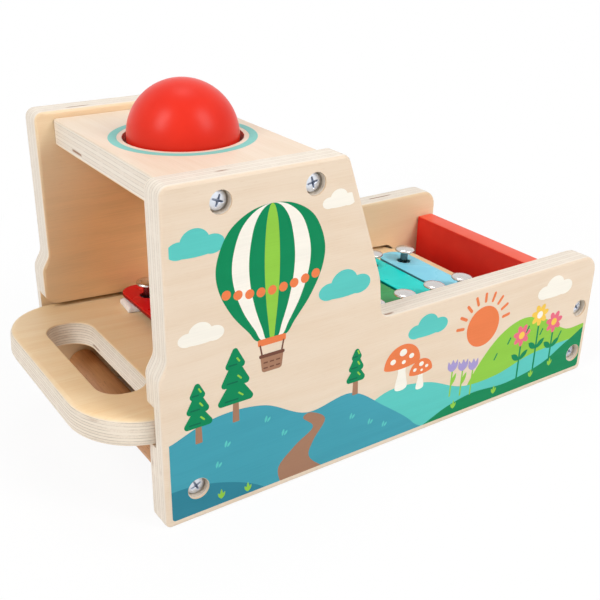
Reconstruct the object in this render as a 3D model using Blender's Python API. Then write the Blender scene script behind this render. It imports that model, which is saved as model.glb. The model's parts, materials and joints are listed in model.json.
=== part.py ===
"""Ball drop xylophone: a wooden tower and trough with a xylophone board that slides out.

A ball pushed through the hole in the tower falls on the first bar and rolls down over the others to
the end wall. Two stepped side panels carry everything. The board runs in a sloping groove in each.

+X runs along the trough from the handle to the end wall, the front panel faces -Y and +Z is up.
The origin is on the ground, under the middle of the object's box. Lengths are in metres.
"""

from math import acos, atan2, ceil, cos, pi, radians, sin, sqrt, tan

import bmesh
import bpy
from mathutils import Matrix, Vector

# Clearances
SEAT_GAP = 0.0003
SHANK_GAP = 0.0002
BOARD_SIDE_GAP = 0.0008
BOARD_LIFT_GAP = 0.0020

# Body and side panels, with X counted from the panels' left edge
BODY_WIDTH = 0.1290
PANEL_THICKNESS = 0.0120
PANEL_LENGTH = 0.2347
TOWER_HEIGHT = 0.1352
TOWER_SETBACK = 0.0035
TOWER_LEAN = 0.0184
TOWER_BEND_RISE = 0.0185
TOWER_FOOT_LEAN = 0.0018
TROUGH_HEIGHT = 0.0634
STEP_HEIGHT = 0.0675
STEP_RISE = 0.0060
TOWER_CORNER_RADIUS = 0.0040
TROUGH_CORNER_RADIUS = 0.0090
FOOT_CORNER_RADIUS = 0.0025
INNER_CORNER_RADIUS = 0.0050
BEND_RADIUS = 0.0250
STEP_RADIUS = 0.0060
PANEL_ARRIS = 0.0013

# Groove that the board runs in
GROOVE_DEPTH = 0.0068
MOUTH_RADIUS = 0.0065

# Shelf on top of the tower, with the ball's hole
SHELF_THICKNESS = 0.0115
SHELF_DROP = 0.0032
SHELF_LEFT_INSET = 0.0081
SHELF_RIGHT_INSET = 0.0010
SHELF_RIM = 0.0071
SHELF_ARRIS = 0.0008
SHELF_SCREW_INSET = 0.0148

# Ball and the soft ring that holds it up in the hole
BALL_DIAMETER = 0.0450
BALL_RISE = 0.0002
BALL_HOLE_GAP = 0.00175
RING_HEIGHT = 0.0033
RING_SEAT_WIDTH = 0.0030

# End wall
WALL_THICKNESS = 0.0105
WALL_SETBACK = 0.0024
WALL_TOP = 0.0496
WALL_BOTTOM = 0.0015
WALL_ARRIS = 0.0010
WALL_SCREW_TOP_INSET = 0.0135
WALL_SCREW_BOTTOM_INSET = 0.0097

# Round rail under the handle
RAIL_RADIUS = 0.0070
RAIL_INSET = 0.0142
RAIL_HEIGHT = 0.0138

# Wood screws
SCREW_SHANK_RADIUS = 0.0020
SCREW_LENGTH = 0.0300
SCREW_POINT = 0.0040
SCREW_HEAD_RADIUS = 0.0037
SCREW_HEAD_HEIGHT = 0.0030
SCREW_RIM_HEIGHT = 0.0012
SCREW_HEAD_GAP = 0.0008
SCREW_SINK = 0.0020
DRIVE_SPAN = 0.0047
DRIVE_WIDTH = 0.0011
DRIVE_DEPTH = 0.0016

# Xylophone board, sloping down from the handle
BOARD_THICKNESS = 0.0112
BOARD_HEIGHT = 0.0458
BOARD_SLOPE = radians(3.4)
BOARD_END_GAP = 0.0109
BOARD_ARRIS = 0.0020
SHOULDER_LENGTH = 0.0085
SHOULDER_GAP = 0.0010
SHOULDER_RADIUS = 0.0030
HANDLE_REACH = 0.0224
HANDLE_CORNER_RADIUS = 0.0280
SLOT_LENGTH = 0.0694
SLOT_WIDTH = 0.0205
SLOT_CENTRE = 0.0012
SLOT_CORNER_RADIUS = 0.0092
SLOT_ARRIS = 0.0008

# Bars, tuned to one octave
BAR_COLOURS = {
    "red": (0.60, 0.02, 0.02),
    "orange": (0.85, 0.20, 0.03),
    "amber": (0.88, 0.40, 0.03),
    "yellow": (0.85, 0.65, 0.05),
    "lime": (0.32, 0.58, 0.06),
    "green": (0.06, 0.40, 0.12),
    "turquoise": (0.03, 0.60, 0.55),
    "light_blue": (0.22, 0.55, 0.75),
}
OCTAVE_RATIO = 2.0
BAR_START = 0.0326
BAR_END_MARGIN = 0.0144
BAR_GAP = 0.0014
BAR_WALL_GAP = 0.0015
BAR_THICKNESS = 0.0020
BAR_CROWN = 0.0080
BAR_ARRIS = 0.0006
BAR_HOLE_RADIUS = 0.0035

# Felt strips under the bars
FELT_THICKNESS = 0.0026
FELT_WIDTH = 0.0125
FELT_OVERHANG = 0.0017

# Pins that keep the bars on the board
PIN_INSET = 0.0140
PIN_SHANK_RADIUS = 0.0020
PIN_FLOOR = 0.0028
PIN_HEAD_RADIUS = 0.0054
PIN_HEAD_RIM = 0.0006
PIN_HEAD_CROWN = 0.0015
PIN_HEAD_LIFT = 0.0057

# Fineness of round shapes
ARC_SAG = 0.00006
BALL_RINGS = 18
WIDE_SIDES = 40
RAIL_SIDES = 24
HOLE_SIDES = 16
SMALL_SIDES = 12
BAR_END_STEPS = 10
LIP_STEPS = 4
DOME_STEPS = 3
SHARP_ANGLE = radians(35)
ARRIS_ANGLE = radians(50)

# How far a cutter runs past the surface that it opens
CUT_PAST = 0.0020

# Sizes that follow
INNER_WIDTH = BODY_WIDTH - 2 * PANEL_THICKNESS
INNER_FACE = INNER_WIDTH / 2
SHELF_TOP = TOWER_HEIGHT - SHELF_DROP
SHELF_BOTTOM = SHELF_TOP - SHELF_THICKNESS
BALL_RADIUS = BALL_DIAMETER / 2
BALL_HOLE_RADIUS = BALL_RADIUS + BALL_HOLE_GAP
REBATE_RADIUS = BALL_HOLE_RADIUS + RING_SEAT_WIDTH
SHELF_LEFT = TOWER_SETBACK + SHELF_LEFT_INSET
BALL_X = SHELF_LEFT + SHELF_RIM + REBATE_RADIUS
SHELF_RIGHT = BALL_X + REBATE_RADIUS + SHELF_RIM
TOWER_BEND_HEIGHT = TROUGH_HEIGHT + TOWER_BEND_RISE
TOWER_SLANT = TOWER_LEAN / (TOWER_HEIGHT - TOWER_BEND_HEIGHT)
TOWER_TOP_END = SHELF_RIGHT + SHELF_RIGHT_INSET - TOWER_SLANT * SHELF_DROP
TOWER_BEND_X = TOWER_TOP_END + TOWER_LEAN
TOWER_FOOT_X = TOWER_BEND_X + TOWER_FOOT_LEAN
WALL_LEFT = PANEL_LENGTH - WALL_SETBACK - WALL_THICKNESS
BOARD_END = (WALL_LEFT - BOARD_END_GAP) / cos(BOARD_SLOPE)
SHOULDER_END = BOARD_END - SHOULDER_LENGTH
BOARD_HALF_WIDTH = INNER_FACE + GROOVE_DEPTH - BOARD_SIDE_GAP
PIN_DEPTH = BOARD_THICKNESS - PIN_FLOOR
BAR_COUNT = len(BAR_COLOURS)
BAR_PITCH = (BOARD_END - BAR_END_MARGIN - BAR_START) / BAR_COUNT
BAR_WIDTH = BAR_PITCH - BAR_GAP
BAR_BOTTOM = FELT_THICKNESS + 2 * SEAT_GAP
BAR_TOP = BAR_BOTTOM + BAR_THICKNESS
LONGEST_BAR = INNER_WIDTH - 2 * BAR_WALL_GAP
SHORTEST_BAR = LONGEST_BAR / sqrt(OCTAVE_RATIO)
HANDLE_TIP = (
    (HANDLE_REACH - BOARD_ARRIS) * cos(BOARD_SLOPE)
    + (BOARD_THICKNESS - BOARD_ARRIS) * sin(BOARD_SLOPE)
    + BOARD_ARRIS
)
MIDDLE_X = (PANEL_LENGTH - HANDLE_TIP) / 2

# Finishes: colour, roughness, metallic
BIRCH = ((0.80, 0.68, 0.50), 0.55, 0.0)
RED_PAINT = ((0.70, 0.06, 0.03), 0.35, 0.0)
STEEL = ((0.75, 0.75, 0.77), 0.22, 1.0)
FELT = ((0.85, 0.84, 0.82), 0.95, 0.0)
SILICONE = ((0.10, 0.10, 0.11), 0.60, 0.0)
BAR_GLOSS = (0.28, 0.2)

# Panels and the cutters for their holes lie in the XZ plane, with their own Z pointing to -Y
UPRIGHT = Matrix.Rotation(pi / 2, 4, "X")


# Outlines

def rounded_outline(corners):
    """Return the points of a closed outline.

    Args:
        corners: (x, y, radius) in order, counter-clockwise; a radius is limited by its two edges.
    """
    points = []
    for index, (x, y, radius) in enumerate(corners):
        corner = Vector((x, y))
        to_last = Vector(corners[index - 1][:2]) - corner
        to_next = Vector(corners[(index + 1) % len(corners)][:2]) - corner
        if radius == 0:
            points.append(corner)
            continue
        half_angle = to_last.angle(to_next) / 2
        reach = min(radius / tan(half_angle), to_last.length / 2, to_next.length / 2)
        arc_radius = reach * tan(half_angle)
        bisector = (to_last.normalized() + to_next.normalized()).normalized()
        centre = corner + bisector * arc_radius / sin(half_angle)
        start = corner + to_last.normalized() * reach - centre
        end = corner + to_next.normalized() * reach - centre
        sweep = atan2(start.cross(end), start.dot(end))
        steps = ceil(abs(sweep) / (2 * acos(1 - ARC_SAG / arc_radius)))
        for step in range(steps + 1):
            turn = Matrix.Rotation(sweep * step / steps, 2)
            points.append(centre + turn @ start)
    return points


def rectangle(left, right, low, high, radius=0.0):
    """Return a rectangle's outline with rounded corners."""
    corners = ((left, low), (right, low), (right, high), (left, high))
    return rounded_outline([(x, y, radius) for x, y in corners])


def panel_outline():
    """Return the stepped outline shared by both side panels."""
    step_low = STEP_HEIGHT - STEP_RISE / 2
    step_high = STEP_HEIGHT + STEP_RISE / 2
    return rounded_outline([
        (0, 0, FOOT_CORNER_RADIUS),
        (PANEL_LENGTH, 0, FOOT_CORNER_RADIUS),
        (PANEL_LENGTH, TROUGH_HEIGHT, TROUGH_CORNER_RADIUS),
        (TOWER_FOOT_X, TROUGH_HEIGHT, INNER_CORNER_RADIUS),
        (TOWER_BEND_X, TOWER_BEND_HEIGHT, BEND_RADIUS),
        (TOWER_TOP_END, TOWER_HEIGHT, TOWER_CORNER_RADIUS),
        (TOWER_SETBACK, TOWER_HEIGHT, TOWER_CORNER_RADIUS),
        (TOWER_SETBACK, step_high, STEP_RADIUS),
        (0, step_low, STEP_RADIUS),
    ])


def on_board(along, lift):
    """Return the panel's (x, z) of a point on the sloping board: along it, and above its top."""
    x = along * cos(BOARD_SLOPE) + lift * sin(BOARD_SLOPE)
    z = BOARD_HEIGHT - along * sin(BOARD_SLOPE) + lift * cos(BOARD_SLOPE)
    return x, z


def groove_outline():
    """Return the groove's outline: a round blind end and a mouth with an eased upper lip.

    The board comes to a stop where its lower arris would meet the round end.
    """
    floor = -BOARD_THICKNESS - SEAT_GAP
    radius = (BOARD_LIFT_GAP - floor) / 2
    arris_drop = radius - SEAT_GAP - BOARD_ARRIS
    arris_reach = sqrt((radius - BOARD_ARRIS) ** 2 - arris_drop ** 2)
    end = SHOULDER_END - BOARD_ARRIS - arris_reach + SEAT_GAP + radius
    outside = -CUT_PAST
    lip_x, lip_z = on_board(-SEAT_GAP, BOARD_LIFT_GAP)
    mouth_top = lip_z + 2 * MOUTH_RADIUS
    return rounded_outline([
        (*on_board(outside, floor), 0),
        (*on_board(end, floor), radius),
        (*on_board(end, BOARD_LIFT_GAP), radius),
        (lip_x, lip_z, MOUTH_RADIUS),
        (lip_x, mouth_top, 0),
        (outside, mouth_top, 0),
    ])


def board_outline():
    """Return the board's outline: a rounded handle, and corners cut back where the grooves end."""
    wide = BOARD_HALF_WIDTH
    narrow = INNER_FACE - SHOULDER_GAP
    return rounded_outline([
        (-HANDLE_REACH, -wide, HANDLE_CORNER_RADIUS),
        (SHOULDER_END, -wide, SHOULDER_RADIUS),
        (SHOULDER_END, -narrow, SHOULDER_RADIUS),
        (BOARD_END, -narrow, SHOULDER_RADIUS),
        (BOARD_END, narrow, SHOULDER_RADIUS),
        (SHOULDER_END, narrow, SHOULDER_RADIUS),
        (SHOULDER_END, wide, SHOULDER_RADIUS),
        (-HANDLE_REACH, wide, HANDLE_CORNER_RADIUS),
    ])


def bar_outline(length):
    """Return a bar's outline, straight at the sides and elliptical at both ends."""
    shoulder = length / 2 - BAR_CROWN
    points = []
    for side in (1, -1):
        for step in range(BAR_END_STEPS + 1):
            angle = pi * step / BAR_END_STEPS
            across = side * BAR_WIDTH / 2 * cos(angle)
            along = side * (shoulder + BAR_CROWN * sin(angle))
            points.append(Vector((across, along)))
    return points


# Meshes and objects

def add_object(name, mesh, parent, matrix):
    """Link a new object that sits at a matrix in its parent's space."""
    obj = bpy.data.objects.new(name, mesh)
    obj.parent = parent
    obj.matrix_basis = matrix
    bpy.context.scene.collection.objects.link(obj)
    return obj


def finish_mesh(name, builder):
    """Turn a bmesh into a mesh with its faces out, smooth but for its sharp edges."""
    bmesh.ops.recalc_face_normals(builder, faces=builder.faces)
    mesh = bpy.data.meshes.new(name)
    builder.to_mesh(mesh)
    builder.free()
    mesh.shade_smooth()
    mesh.set_sharp_from_angle(angle=SHARP_ANGLE)
    return mesh


def add_prism(builder, outline, low, high):
    """Add an outline in XY, extruded from low to high along Z."""
    base = [builder.verts.new((point.x, point.y, low)) for point in outline]
    face = builder.faces.new(base)
    grown = bmesh.ops.extrude_face_region(builder, geom=[face])["geom"]
    top = [item for item in grown if isinstance(item, bmesh.types.BMVert)]
    bmesh.ops.translate(builder, verts=top, vec=(0, 0, high - low))


def prism_mesh(name, outline, low, high):
    """Return the mesh of one extruded outline."""
    builder = bmesh.new()
    add_prism(builder, outline, low, high)
    return finish_mesh(name, builder)


def holes_mesh(name, centres, radius, low, high):
    """Return one mesh of equal cylinders along Z, to cut holes at the given (x, y) centres."""
    builder = bmesh.new()
    for x, y in centres:
        bmesh.ops.create_cone(
            builder, cap_ends=True, segments=SMALL_SIDES, radius1=radius, radius2=radius,
            depth=high - low, matrix=Matrix.Translation((x, y, (low + high) / 2)))
    return finish_mesh(name, builder)


def turned_mesh(name, profile, sides, closed=False):
    """Return a mesh turned about Z from (radius, z) points that run up its outer side."""
    builder = bmesh.new()
    rings = []
    for radius, z in profile:
        count = sides if radius > 0 else 1
        ring = []
        for side in range(count):
            angle = 2 * pi * side / sides
            ring.append(builder.verts.new((radius * cos(angle), radius * sin(angle), z)))
        rings.append(ring)
    pairs = list(zip(rings, rings[1:]))
    if closed:
        pairs.append((rings[-1], rings[0]))
    for lower, upper in pairs:
        for side in range(sides):
            corners = []
            for ring, offset in ((lower, 0), (lower, 1), (upper, 1), (upper, 0)):
                corner = ring[(side + offset) % len(ring)]
                if corner not in corners:
                    corners.append(corner)
            builder.faces.new(corners)
    return finish_mesh(name, builder)


def dome(radius, low, rise):
    """Return profile points of a shallow dome, from its rim to its top on the axis."""
    points = []
    for step in range(DOME_STEPS):
        angle = pi / 2 * step / DOME_STEPS
        points.append((radius * cos(angle), low + rise * sin(angle)))
    points.append((0, low + rise))
    return points


def finish(obj, name, look):
    """Give an object its material and normals that keep its flat faces flat.

    Args:
        look: the material's colour, roughness and metallic value.
    """
    level = obj.modifiers.new("level", "WEIGHTED_NORMAL")
    level.keep_sharp = True
    colour, roughness, metallic = look
    material = bpy.data.materials.get(name) or bpy.data.materials.new(name)
    material.use_nodes = True
    shader = material.node_tree.nodes["Principled BSDF"]
    shader.inputs["Base Color"].default_value = (*colour, 1)
    shader.inputs["Roughness"].default_value = roughness
    shader.inputs["Metallic"].default_value = metallic
    material.diffuse_color = (*colour, 1)
    obj.data.materials.clear()
    obj.data.materials.append(material)


def ease(obj, width, segments=2):
    """Round an object's arrises."""
    modifier = obj.modifiers.new("arris", "BEVEL")
    modifier.width = width
    modifier.segments = segments
    modifier.limit_method = "ANGLE"
    modifier.angle_limit = ARRIS_ANGLE


def cut(obj, mesh, matrix=None):
    """Cut a mesh out of an object; the matrix places it in the space of the object's parent."""
    place = obj.matrix_basis if matrix is None else matrix
    cutter = add_object(f"{obj.name}.{mesh.name}", mesh, obj.parent, place)
    cutter.hide_render = True
    cutter.display_type = "WIRE"
    modifier = obj.modifiers.new(mesh.name, "BOOLEAN")
    modifier.operation = "DIFFERENCE"
    modifier.solver = "EXACT"
    modifier.object = cutter


# Screws

def screw_places():
    """Return each screw's name on one side, and its (x, z) on the panel."""
    shelf_z = SHELF_TOP - SHELF_THICKNESS / 2
    wall_x = WALL_LEFT + WALL_THICKNESS / 2
    return {
        "shelf_left": (SHELF_LEFT + SHELF_SCREW_INSET, shelf_z),
        "shelf_right": (SHELF_RIGHT - SHELF_SCREW_INSET, shelf_z),
        "wall_upper": (wall_x, WALL_TOP - WALL_SCREW_TOP_INSET),
        "wall_lower": (wall_x, WALL_BOTTOM + WALL_SCREW_BOTTOM_INSET),
        "rail": (RAIL_INSET, RAIL_HEIGHT),
    }


def screw_matrix(x, z, side):
    """Return the place of a screw's head on the front (-1) or back (1) panel, its Z pointing out."""
    seat = BODY_WIDTH / 2 - SCREW_SINK - SCREW_HEAD_HEIGHT
    turn = Matrix.Rotation(-side * pi / 2, 4, "X")
    return Matrix.Translation((x, side * seat, z)) @ turn


def screw_mesh():
    """Return a pan-head screw with a cross recess, its head's seat at Z = 0."""
    profile = [
        (0, -SCREW_LENGTH),
        (SCREW_SHANK_RADIUS, -SCREW_LENGTH + SCREW_POINT),
        (SCREW_SHANK_RADIUS, 0),
        (SCREW_HEAD_RADIUS, 0),
        *dome(SCREW_HEAD_RADIUS, SCREW_RIM_HEIGHT, SCREW_HEAD_HEIGHT - SCREW_RIM_HEIGHT),
    ]
    blank = bpy.data.objects.new("blank", turned_mesh("screw_blank", profile, SMALL_SIDES))
    bpy.context.scene.collection.objects.link(blank)
    builder = bmesh.new()
    span, width = DRIVE_SPAN / 2, DRIVE_WIDTH / 2
    cross = []
    for quarter in range(4):
        turn = Matrix.Rotation(quarter * pi / 2, 2)
        for x, y in ((span, -width), (span, width), (width, width)):
            cross.append(turn @ Vector((x, y)))
    add_prism(builder, cross, SCREW_HEAD_HEIGHT - DRIVE_DEPTH, SCREW_HEAD_HEIGHT + CUT_PAST)
    cut(blank, finish_mesh("drive", builder))
    graph = bpy.context.evaluated_depsgraph_get()
    mesh = bpy.data.meshes.new_from_object(blank.evaluated_get(graph))
    mesh.name = "screw"
    for scrap in [blank, *[modifier.object for modifier in blank.modifiers]]:
        bpy.data.objects.remove(scrap)
    return mesh


def screw_hole_mesh():
    """Return the stepped cutter for a screw: counterbore, shank and point."""
    shank = SCREW_SHANK_RADIUS + SHANK_GAP
    counterbore = SCREW_HEAD_RADIUS + SCREW_HEAD_GAP
    mouth = SCREW_HEAD_HEIGHT + SCREW_SINK + CUT_PAST
    profile = [
        (0, -SCREW_LENGTH - SEAT_GAP),
        (shank, -SCREW_LENGTH + SCREW_POINT - SEAT_GAP),
        (shank, -SEAT_GAP),
        (counterbore, -SEAT_GAP),
        (counterbore, mouth),
        (0, mouth),
    ]
    return turned_mesh("screw_hole", profile, HOLE_SIDES)


def drill(obj, hole, names, sides=(-1, 1)):
    """Cut the holes of the named screws into an object."""
    places = screw_places()
    for name in names:
        for side in sides:
            cut(obj, hole, screw_matrix(*places[name], side))


# Pieces of the body

def make_panel(name, side, hole, toy):
    """Make the front (-1) or back (1) side panel."""
    inner = -side * INNER_FACE
    outer = -side * BODY_WIDTH / 2
    low, high = sorted((inner, outer))
    panel = add_object(name, prism_mesh(name, panel_outline(), low, high), toy, UPRIGHT)
    ease(panel, PANEL_ARRIS)
    groove_low, groove_high = sorted((inner - side * GROOVE_DEPTH, inner + side * CUT_PAST))
    cut(panel, prism_mesh("groove", groove_outline(), groove_low, groove_high))
    drill(panel, hole, screw_places(), [side])
    finish(panel, "birch", BIRCH)


def make_shelf(hole, toy):
    """Make the tower's shelf, with the ball's hole and a rebate under it for the ring."""
    reach = INNER_FACE - SEAT_GAP
    outline = rectangle(SHELF_LEFT, SHELF_RIGHT, -reach, reach)
    mesh = prism_mesh("top_shelf", outline, SHELF_BOTTOM, SHELF_TOP)
    shelf = add_object("top_shelf", mesh, toy, Matrix())
    ease(shelf, SHELF_ARRIS)
    rebate_top = SHELF_BOTTOM + RING_HEIGHT + SEAT_GAP
    profile = [
        (0, SHELF_BOTTOM - CUT_PAST),
        (REBATE_RADIUS, SHELF_BOTTOM - CUT_PAST),
        (REBATE_RADIUS, rebate_top),
        (BALL_HOLE_RADIUS, rebate_top),
        (BALL_HOLE_RADIUS, SHELF_TOP + CUT_PAST),
        (0, SHELF_TOP + CUT_PAST),
    ]
    cut(shelf, turned_mesh("ball_hole", profile, WIDE_SIDES), Matrix.Translation((BALL_X, 0, 0)))
    drill(shelf, hole, ("shelf_left", "shelf_right"))
    finish(shelf, "birch", BIRCH)


def make_ring(toy):
    """Make the soft ring glued in the shelf's rebate; its lip follows the ball's underside."""
    outer = REBATE_RADIUS - SEAT_GAP
    centre = SHELF_TOP + BALL_RISE
    seat = BALL_RADIUS + SEAT_GAP
    lip = []
    for step in range(LIP_STEPS + 1):
        z = SHELF_BOTTOM + RING_HEIGHT * (1 - step / LIP_STEPS)
        lip.append((sqrt(seat ** 2 - (centre - z) ** 2), z))
    profile = [(outer, SHELF_BOTTOM), (outer, SHELF_BOTTOM + RING_HEIGHT), *lip]
    mesh = turned_mesh("grip_ring", profile, WIDE_SIDES, closed=True)
    ring = add_object("grip_ring", mesh, toy, Matrix.Translation((BALL_X, 0, 0)))
    finish(ring, "silicone", SILICONE)


def make_wall(hole, toy):
    """Make the painted end wall that stops the ball."""
    reach = INNER_FACE - SEAT_GAP
    outline = rectangle(WALL_LEFT, WALL_LEFT + WALL_THICKNESS, WALL_BOTTOM, WALL_TOP)
    wall = add_object("end_wall", prism_mesh("end_wall", outline, -reach, reach), toy, UPRIGHT)
    ease(wall, WALL_ARRIS)
    drill(wall, hole, ("wall_upper", "wall_lower"))
    finish(wall, "red_paint", RED_PAINT)


def make_rail(hole, toy):
    """Make the round rail that ties the panels together under the handle."""
    reach = INNER_FACE - SEAT_GAP
    profile = [(0, -reach), (RAIL_RADIUS, -reach), (RAIL_RADIUS, reach), (0, reach)]
    place = Matrix.Translation((RAIL_INSET, 0, RAIL_HEIGHT)) @ UPRIGHT
    rail = add_object("cross_rail", turned_mesh("cross_rail", profile, RAIL_SIDES), toy, place)
    drill(rail, hole, ("rail",))
    finish(rail, "birch", BIRCH)


def make_screws(toy):
    """Make the screws that hold the panels to the shelf, the wall and the rail."""
    mesh = screw_mesh()
    for panel, side in (("front", -1), ("back", 1)):
        for name, (x, z) in screw_places().items():
            screw = add_object(f"screw_{panel}_{name}", mesh, toy, screw_matrix(x, z, side))
            finish(screw, "steel", STEEL)


def make_ball(toy):
    """Make the ball, its origin at its centre, resting on the ring."""
    builder = bmesh.new()
    bmesh.ops.create_uvsphere(
        builder, u_segments=2 * BALL_RINGS, v_segments=BALL_RINGS, radius=BALL_RADIUS)
    place = Matrix.Translation((BALL_X, 0, SHELF_TOP + BALL_RISE))
    ball = add_object("ball", finish_mesh("ball", builder), toy, place)
    finish(ball, "ball_red", RED_PAINT)


# Pieces of the xylophone, in the board's own space: X down the slope, Z = 0 on its top face

def bar_length(index):
    """Return a bar's length: bars shorten evenly from the lowest note to the highest."""
    return LONGEST_BAR + (SHORTEST_BAR - LONGEST_BAR) * index / (BAR_COUNT - 1)


def bar_x(index):
    """Return the distance of a bar's middle down the board."""
    return BAR_START + BAR_PITCH * (index + 0.5)


def pin_y(index):
    """Return how far a bar's pins stand from the board's middle line."""
    return bar_length(index) / 2 - PIN_INSET


def pin_row(side):
    """Return the (x, y) of the pins on the front (-1) or back (1) side."""
    return [(bar_x(index), side * pin_y(index)) for index in range(BAR_COUNT)]


def make_board(slide):
    """Make the sliding board with its hand slot and the pins' holes."""
    mesh = prism_mesh("xylophone_board", board_outline(), -BOARD_THICKNESS, 0)
    board = add_object("xylophone_board", mesh, slide, Matrix())
    ease(board, BOARD_ARRIS)
    left, right = SLOT_CENTRE - SLOT_WIDTH / 2, SLOT_CENTRE + SLOT_WIDTH / 2
    slot = rectangle(left, right, -SLOT_LENGTH / 2, SLOT_LENGTH / 2, SLOT_CORNER_RADIUS)
    cut(board, prism_mesh("hand_slot", slot, -BOARD_THICKNESS - CUT_PAST, CUT_PAST))
    ease(board, SLOT_ARRIS)
    radius = PIN_SHANK_RADIUS + SHANK_GAP
    pins = pin_row(-1) + pin_row(1)
    cut(board, holes_mesh("pin_holes", pins, radius, -PIN_DEPTH - SEAT_GAP, CUT_PAST))
    finish(board, "birch", BIRCH)


def make_felt(name, side, slide):
    """Make one felt strip, laid along a row of pins."""
    pins = pin_row(side)
    first, last = Vector(pins[0]), Vector(pins[-1])
    along = (last - first).normalized()
    across = Vector((-along.y, along.x)) * FELT_WIDTH / 2
    start = first - along * (BAR_WIDTH / 2 + FELT_OVERHANG)
    end = last + along * (BAR_WIDTH / 2)
    outline = [start - across, end - across, end + across, start + across]
    low, high = SEAT_GAP, SEAT_GAP + FELT_THICKNESS
    felt = add_object(name, prism_mesh(name, outline, low, high), slide, Matrix())
    radius = PIN_SHANK_RADIUS + SHANK_GAP
    cut(felt, holes_mesh("pin_holes", pins, radius, low - CUT_PAST, high + CUT_PAST))
    finish(felt, "felt", FELT)


def make_bars(slide):
    """Make the metal bars, each with a loose hole for its two pins."""
    for index, (colour, rgb) in enumerate(BAR_COLOURS.items()):
        name = f"bar_{index + 1}_{colour}"
        mesh = prism_mesh(name, bar_outline(bar_length(index)), BAR_BOTTOM, BAR_TOP)
        bar = add_object(name, mesh, slide, Matrix.Translation((bar_x(index), 0, 0)))
        ease(bar, BAR_ARRIS, 1)
        centres = [(0, pin_y(index)), (0, -pin_y(index))]
        low, high = BAR_BOTTOM - CUT_PAST, BAR_TOP + CUT_PAST
        cut(bar, holes_mesh("pin_holes", centres, BAR_HOLE_RADIUS, low, high))
        finish(bar, f"enamel_{colour}", (rgb, *BAR_GLOSS))


def make_pins(slide):
    """Make the mushroom-headed pins."""
    neck = BAR_TOP + PIN_HEAD_LIFT
    profile = [
        (0, -PIN_DEPTH),
        (PIN_SHANK_RADIUS, -PIN_DEPTH),
        (PIN_SHANK_RADIUS, neck),
        (PIN_HEAD_RADIUS, neck),
        *dome(PIN_HEAD_RADIUS, neck + PIN_HEAD_RIM, PIN_HEAD_CROWN),
    ]
    mesh = turned_mesh("pin", profile, SMALL_SIDES)
    for row, side in (("front", -1), ("back", 1)):
        for index, (x, y) in enumerate(pin_row(side)):
            place = Matrix.Translation((x, y, 0))
            pin = add_object(f"pin_{row}_{index + 1}", mesh, slide, place)
            finish(pin, "steel", STEEL)


def main():
    """Build the whole object."""
    for old in list(bpy.data.objects):
        bpy.data.objects.remove(old)
    toy = add_object("toy", None, None, Matrix.Translation((-MIDDLE_X, 0, 0)))
    tilt = Matrix.Rotation(BOARD_SLOPE, 4, "Y")
    slide = add_object("xylophone_slide", None, toy, Matrix.Translation((0, 0, BOARD_HEIGHT)) @ tilt)

    hole = screw_hole_mesh()
    make_panel("front_panel", -1, hole, toy)
    make_panel("back_panel", 1, hole, toy)
    make_shelf(hole, toy)
    make_ring(toy)
    make_wall(hole, toy)
    make_rail(hole, toy)
    make_screws(toy)
    make_ball(toy)

    make_board(slide)
    make_felt("felt_front", -1, slide)
    make_felt("felt_back", 1, slide)
    make_bars(slide)
    make_pins(slide)


main()
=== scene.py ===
"""Looks of the ball drop xylophone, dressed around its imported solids.

Lacquered plywood with its plies showing at the edges, a printed front panel, a painted ball and end
wall, enamelled bars on felt, plated pins and zinc screws. Lengths are in metres, in the part's frame.
The print is laid out in millimetres on the front panel, from its lower left corner.
"""

from __future__ import annotations

import json
import logging
import math
import random
from dataclasses import dataclass, field, replace
from enum import Enum
from typing import Iterable, Sequence

import bmesh
import bpy
from mathutils import Matrix, Vector
from mathutils.geometry import delaunay_2d_cdt

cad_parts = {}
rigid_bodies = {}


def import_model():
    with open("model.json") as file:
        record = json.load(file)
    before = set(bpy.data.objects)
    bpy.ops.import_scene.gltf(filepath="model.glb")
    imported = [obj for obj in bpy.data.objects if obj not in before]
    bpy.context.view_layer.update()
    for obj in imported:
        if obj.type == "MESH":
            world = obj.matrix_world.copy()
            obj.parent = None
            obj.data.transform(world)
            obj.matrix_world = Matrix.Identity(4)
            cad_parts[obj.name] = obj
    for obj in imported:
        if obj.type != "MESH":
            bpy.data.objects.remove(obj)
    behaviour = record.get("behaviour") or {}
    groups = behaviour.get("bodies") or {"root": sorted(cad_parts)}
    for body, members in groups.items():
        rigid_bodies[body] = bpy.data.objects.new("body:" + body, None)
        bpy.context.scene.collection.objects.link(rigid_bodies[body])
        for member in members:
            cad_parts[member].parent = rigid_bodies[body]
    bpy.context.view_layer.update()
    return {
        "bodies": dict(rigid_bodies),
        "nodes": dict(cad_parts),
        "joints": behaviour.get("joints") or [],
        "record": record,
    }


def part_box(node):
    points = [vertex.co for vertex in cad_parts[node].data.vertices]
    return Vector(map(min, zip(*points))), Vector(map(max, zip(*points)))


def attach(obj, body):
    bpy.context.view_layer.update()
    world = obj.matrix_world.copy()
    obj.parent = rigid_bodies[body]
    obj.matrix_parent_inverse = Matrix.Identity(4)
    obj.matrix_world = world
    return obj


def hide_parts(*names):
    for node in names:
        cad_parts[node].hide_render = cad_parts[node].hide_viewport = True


LOG = logging.getLogger("ball_drop_xylophone")

Colour = tuple[float, float, float]
Point = tuple[float, float]
Point3 = tuple[float, float, float]
Outline = list[Point]

MM = 0.001
SLIDE_JOINT = "xylophone_slide"
X_AXIS = Vector((1, 0, 0))
Y_AXIS = Vector((0, 1, 0))
Z_AXIS = Vector((0, 0, 1))
TINY = 1e-6


class Body(Enum):
    """The bodies that pieces ride on."""

    FRAME = "frame"
    XYLOPHONE = "xylophone"
    BALL = "ball"


class Side(Enum):
    """The front and back halves, by the sign of Y."""

    FRONT = -1
    BACK = 1

    @property
    def word(self) -> str:
        """Return the side's name as the nodes spell it."""
        return self.name.lower()


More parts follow.
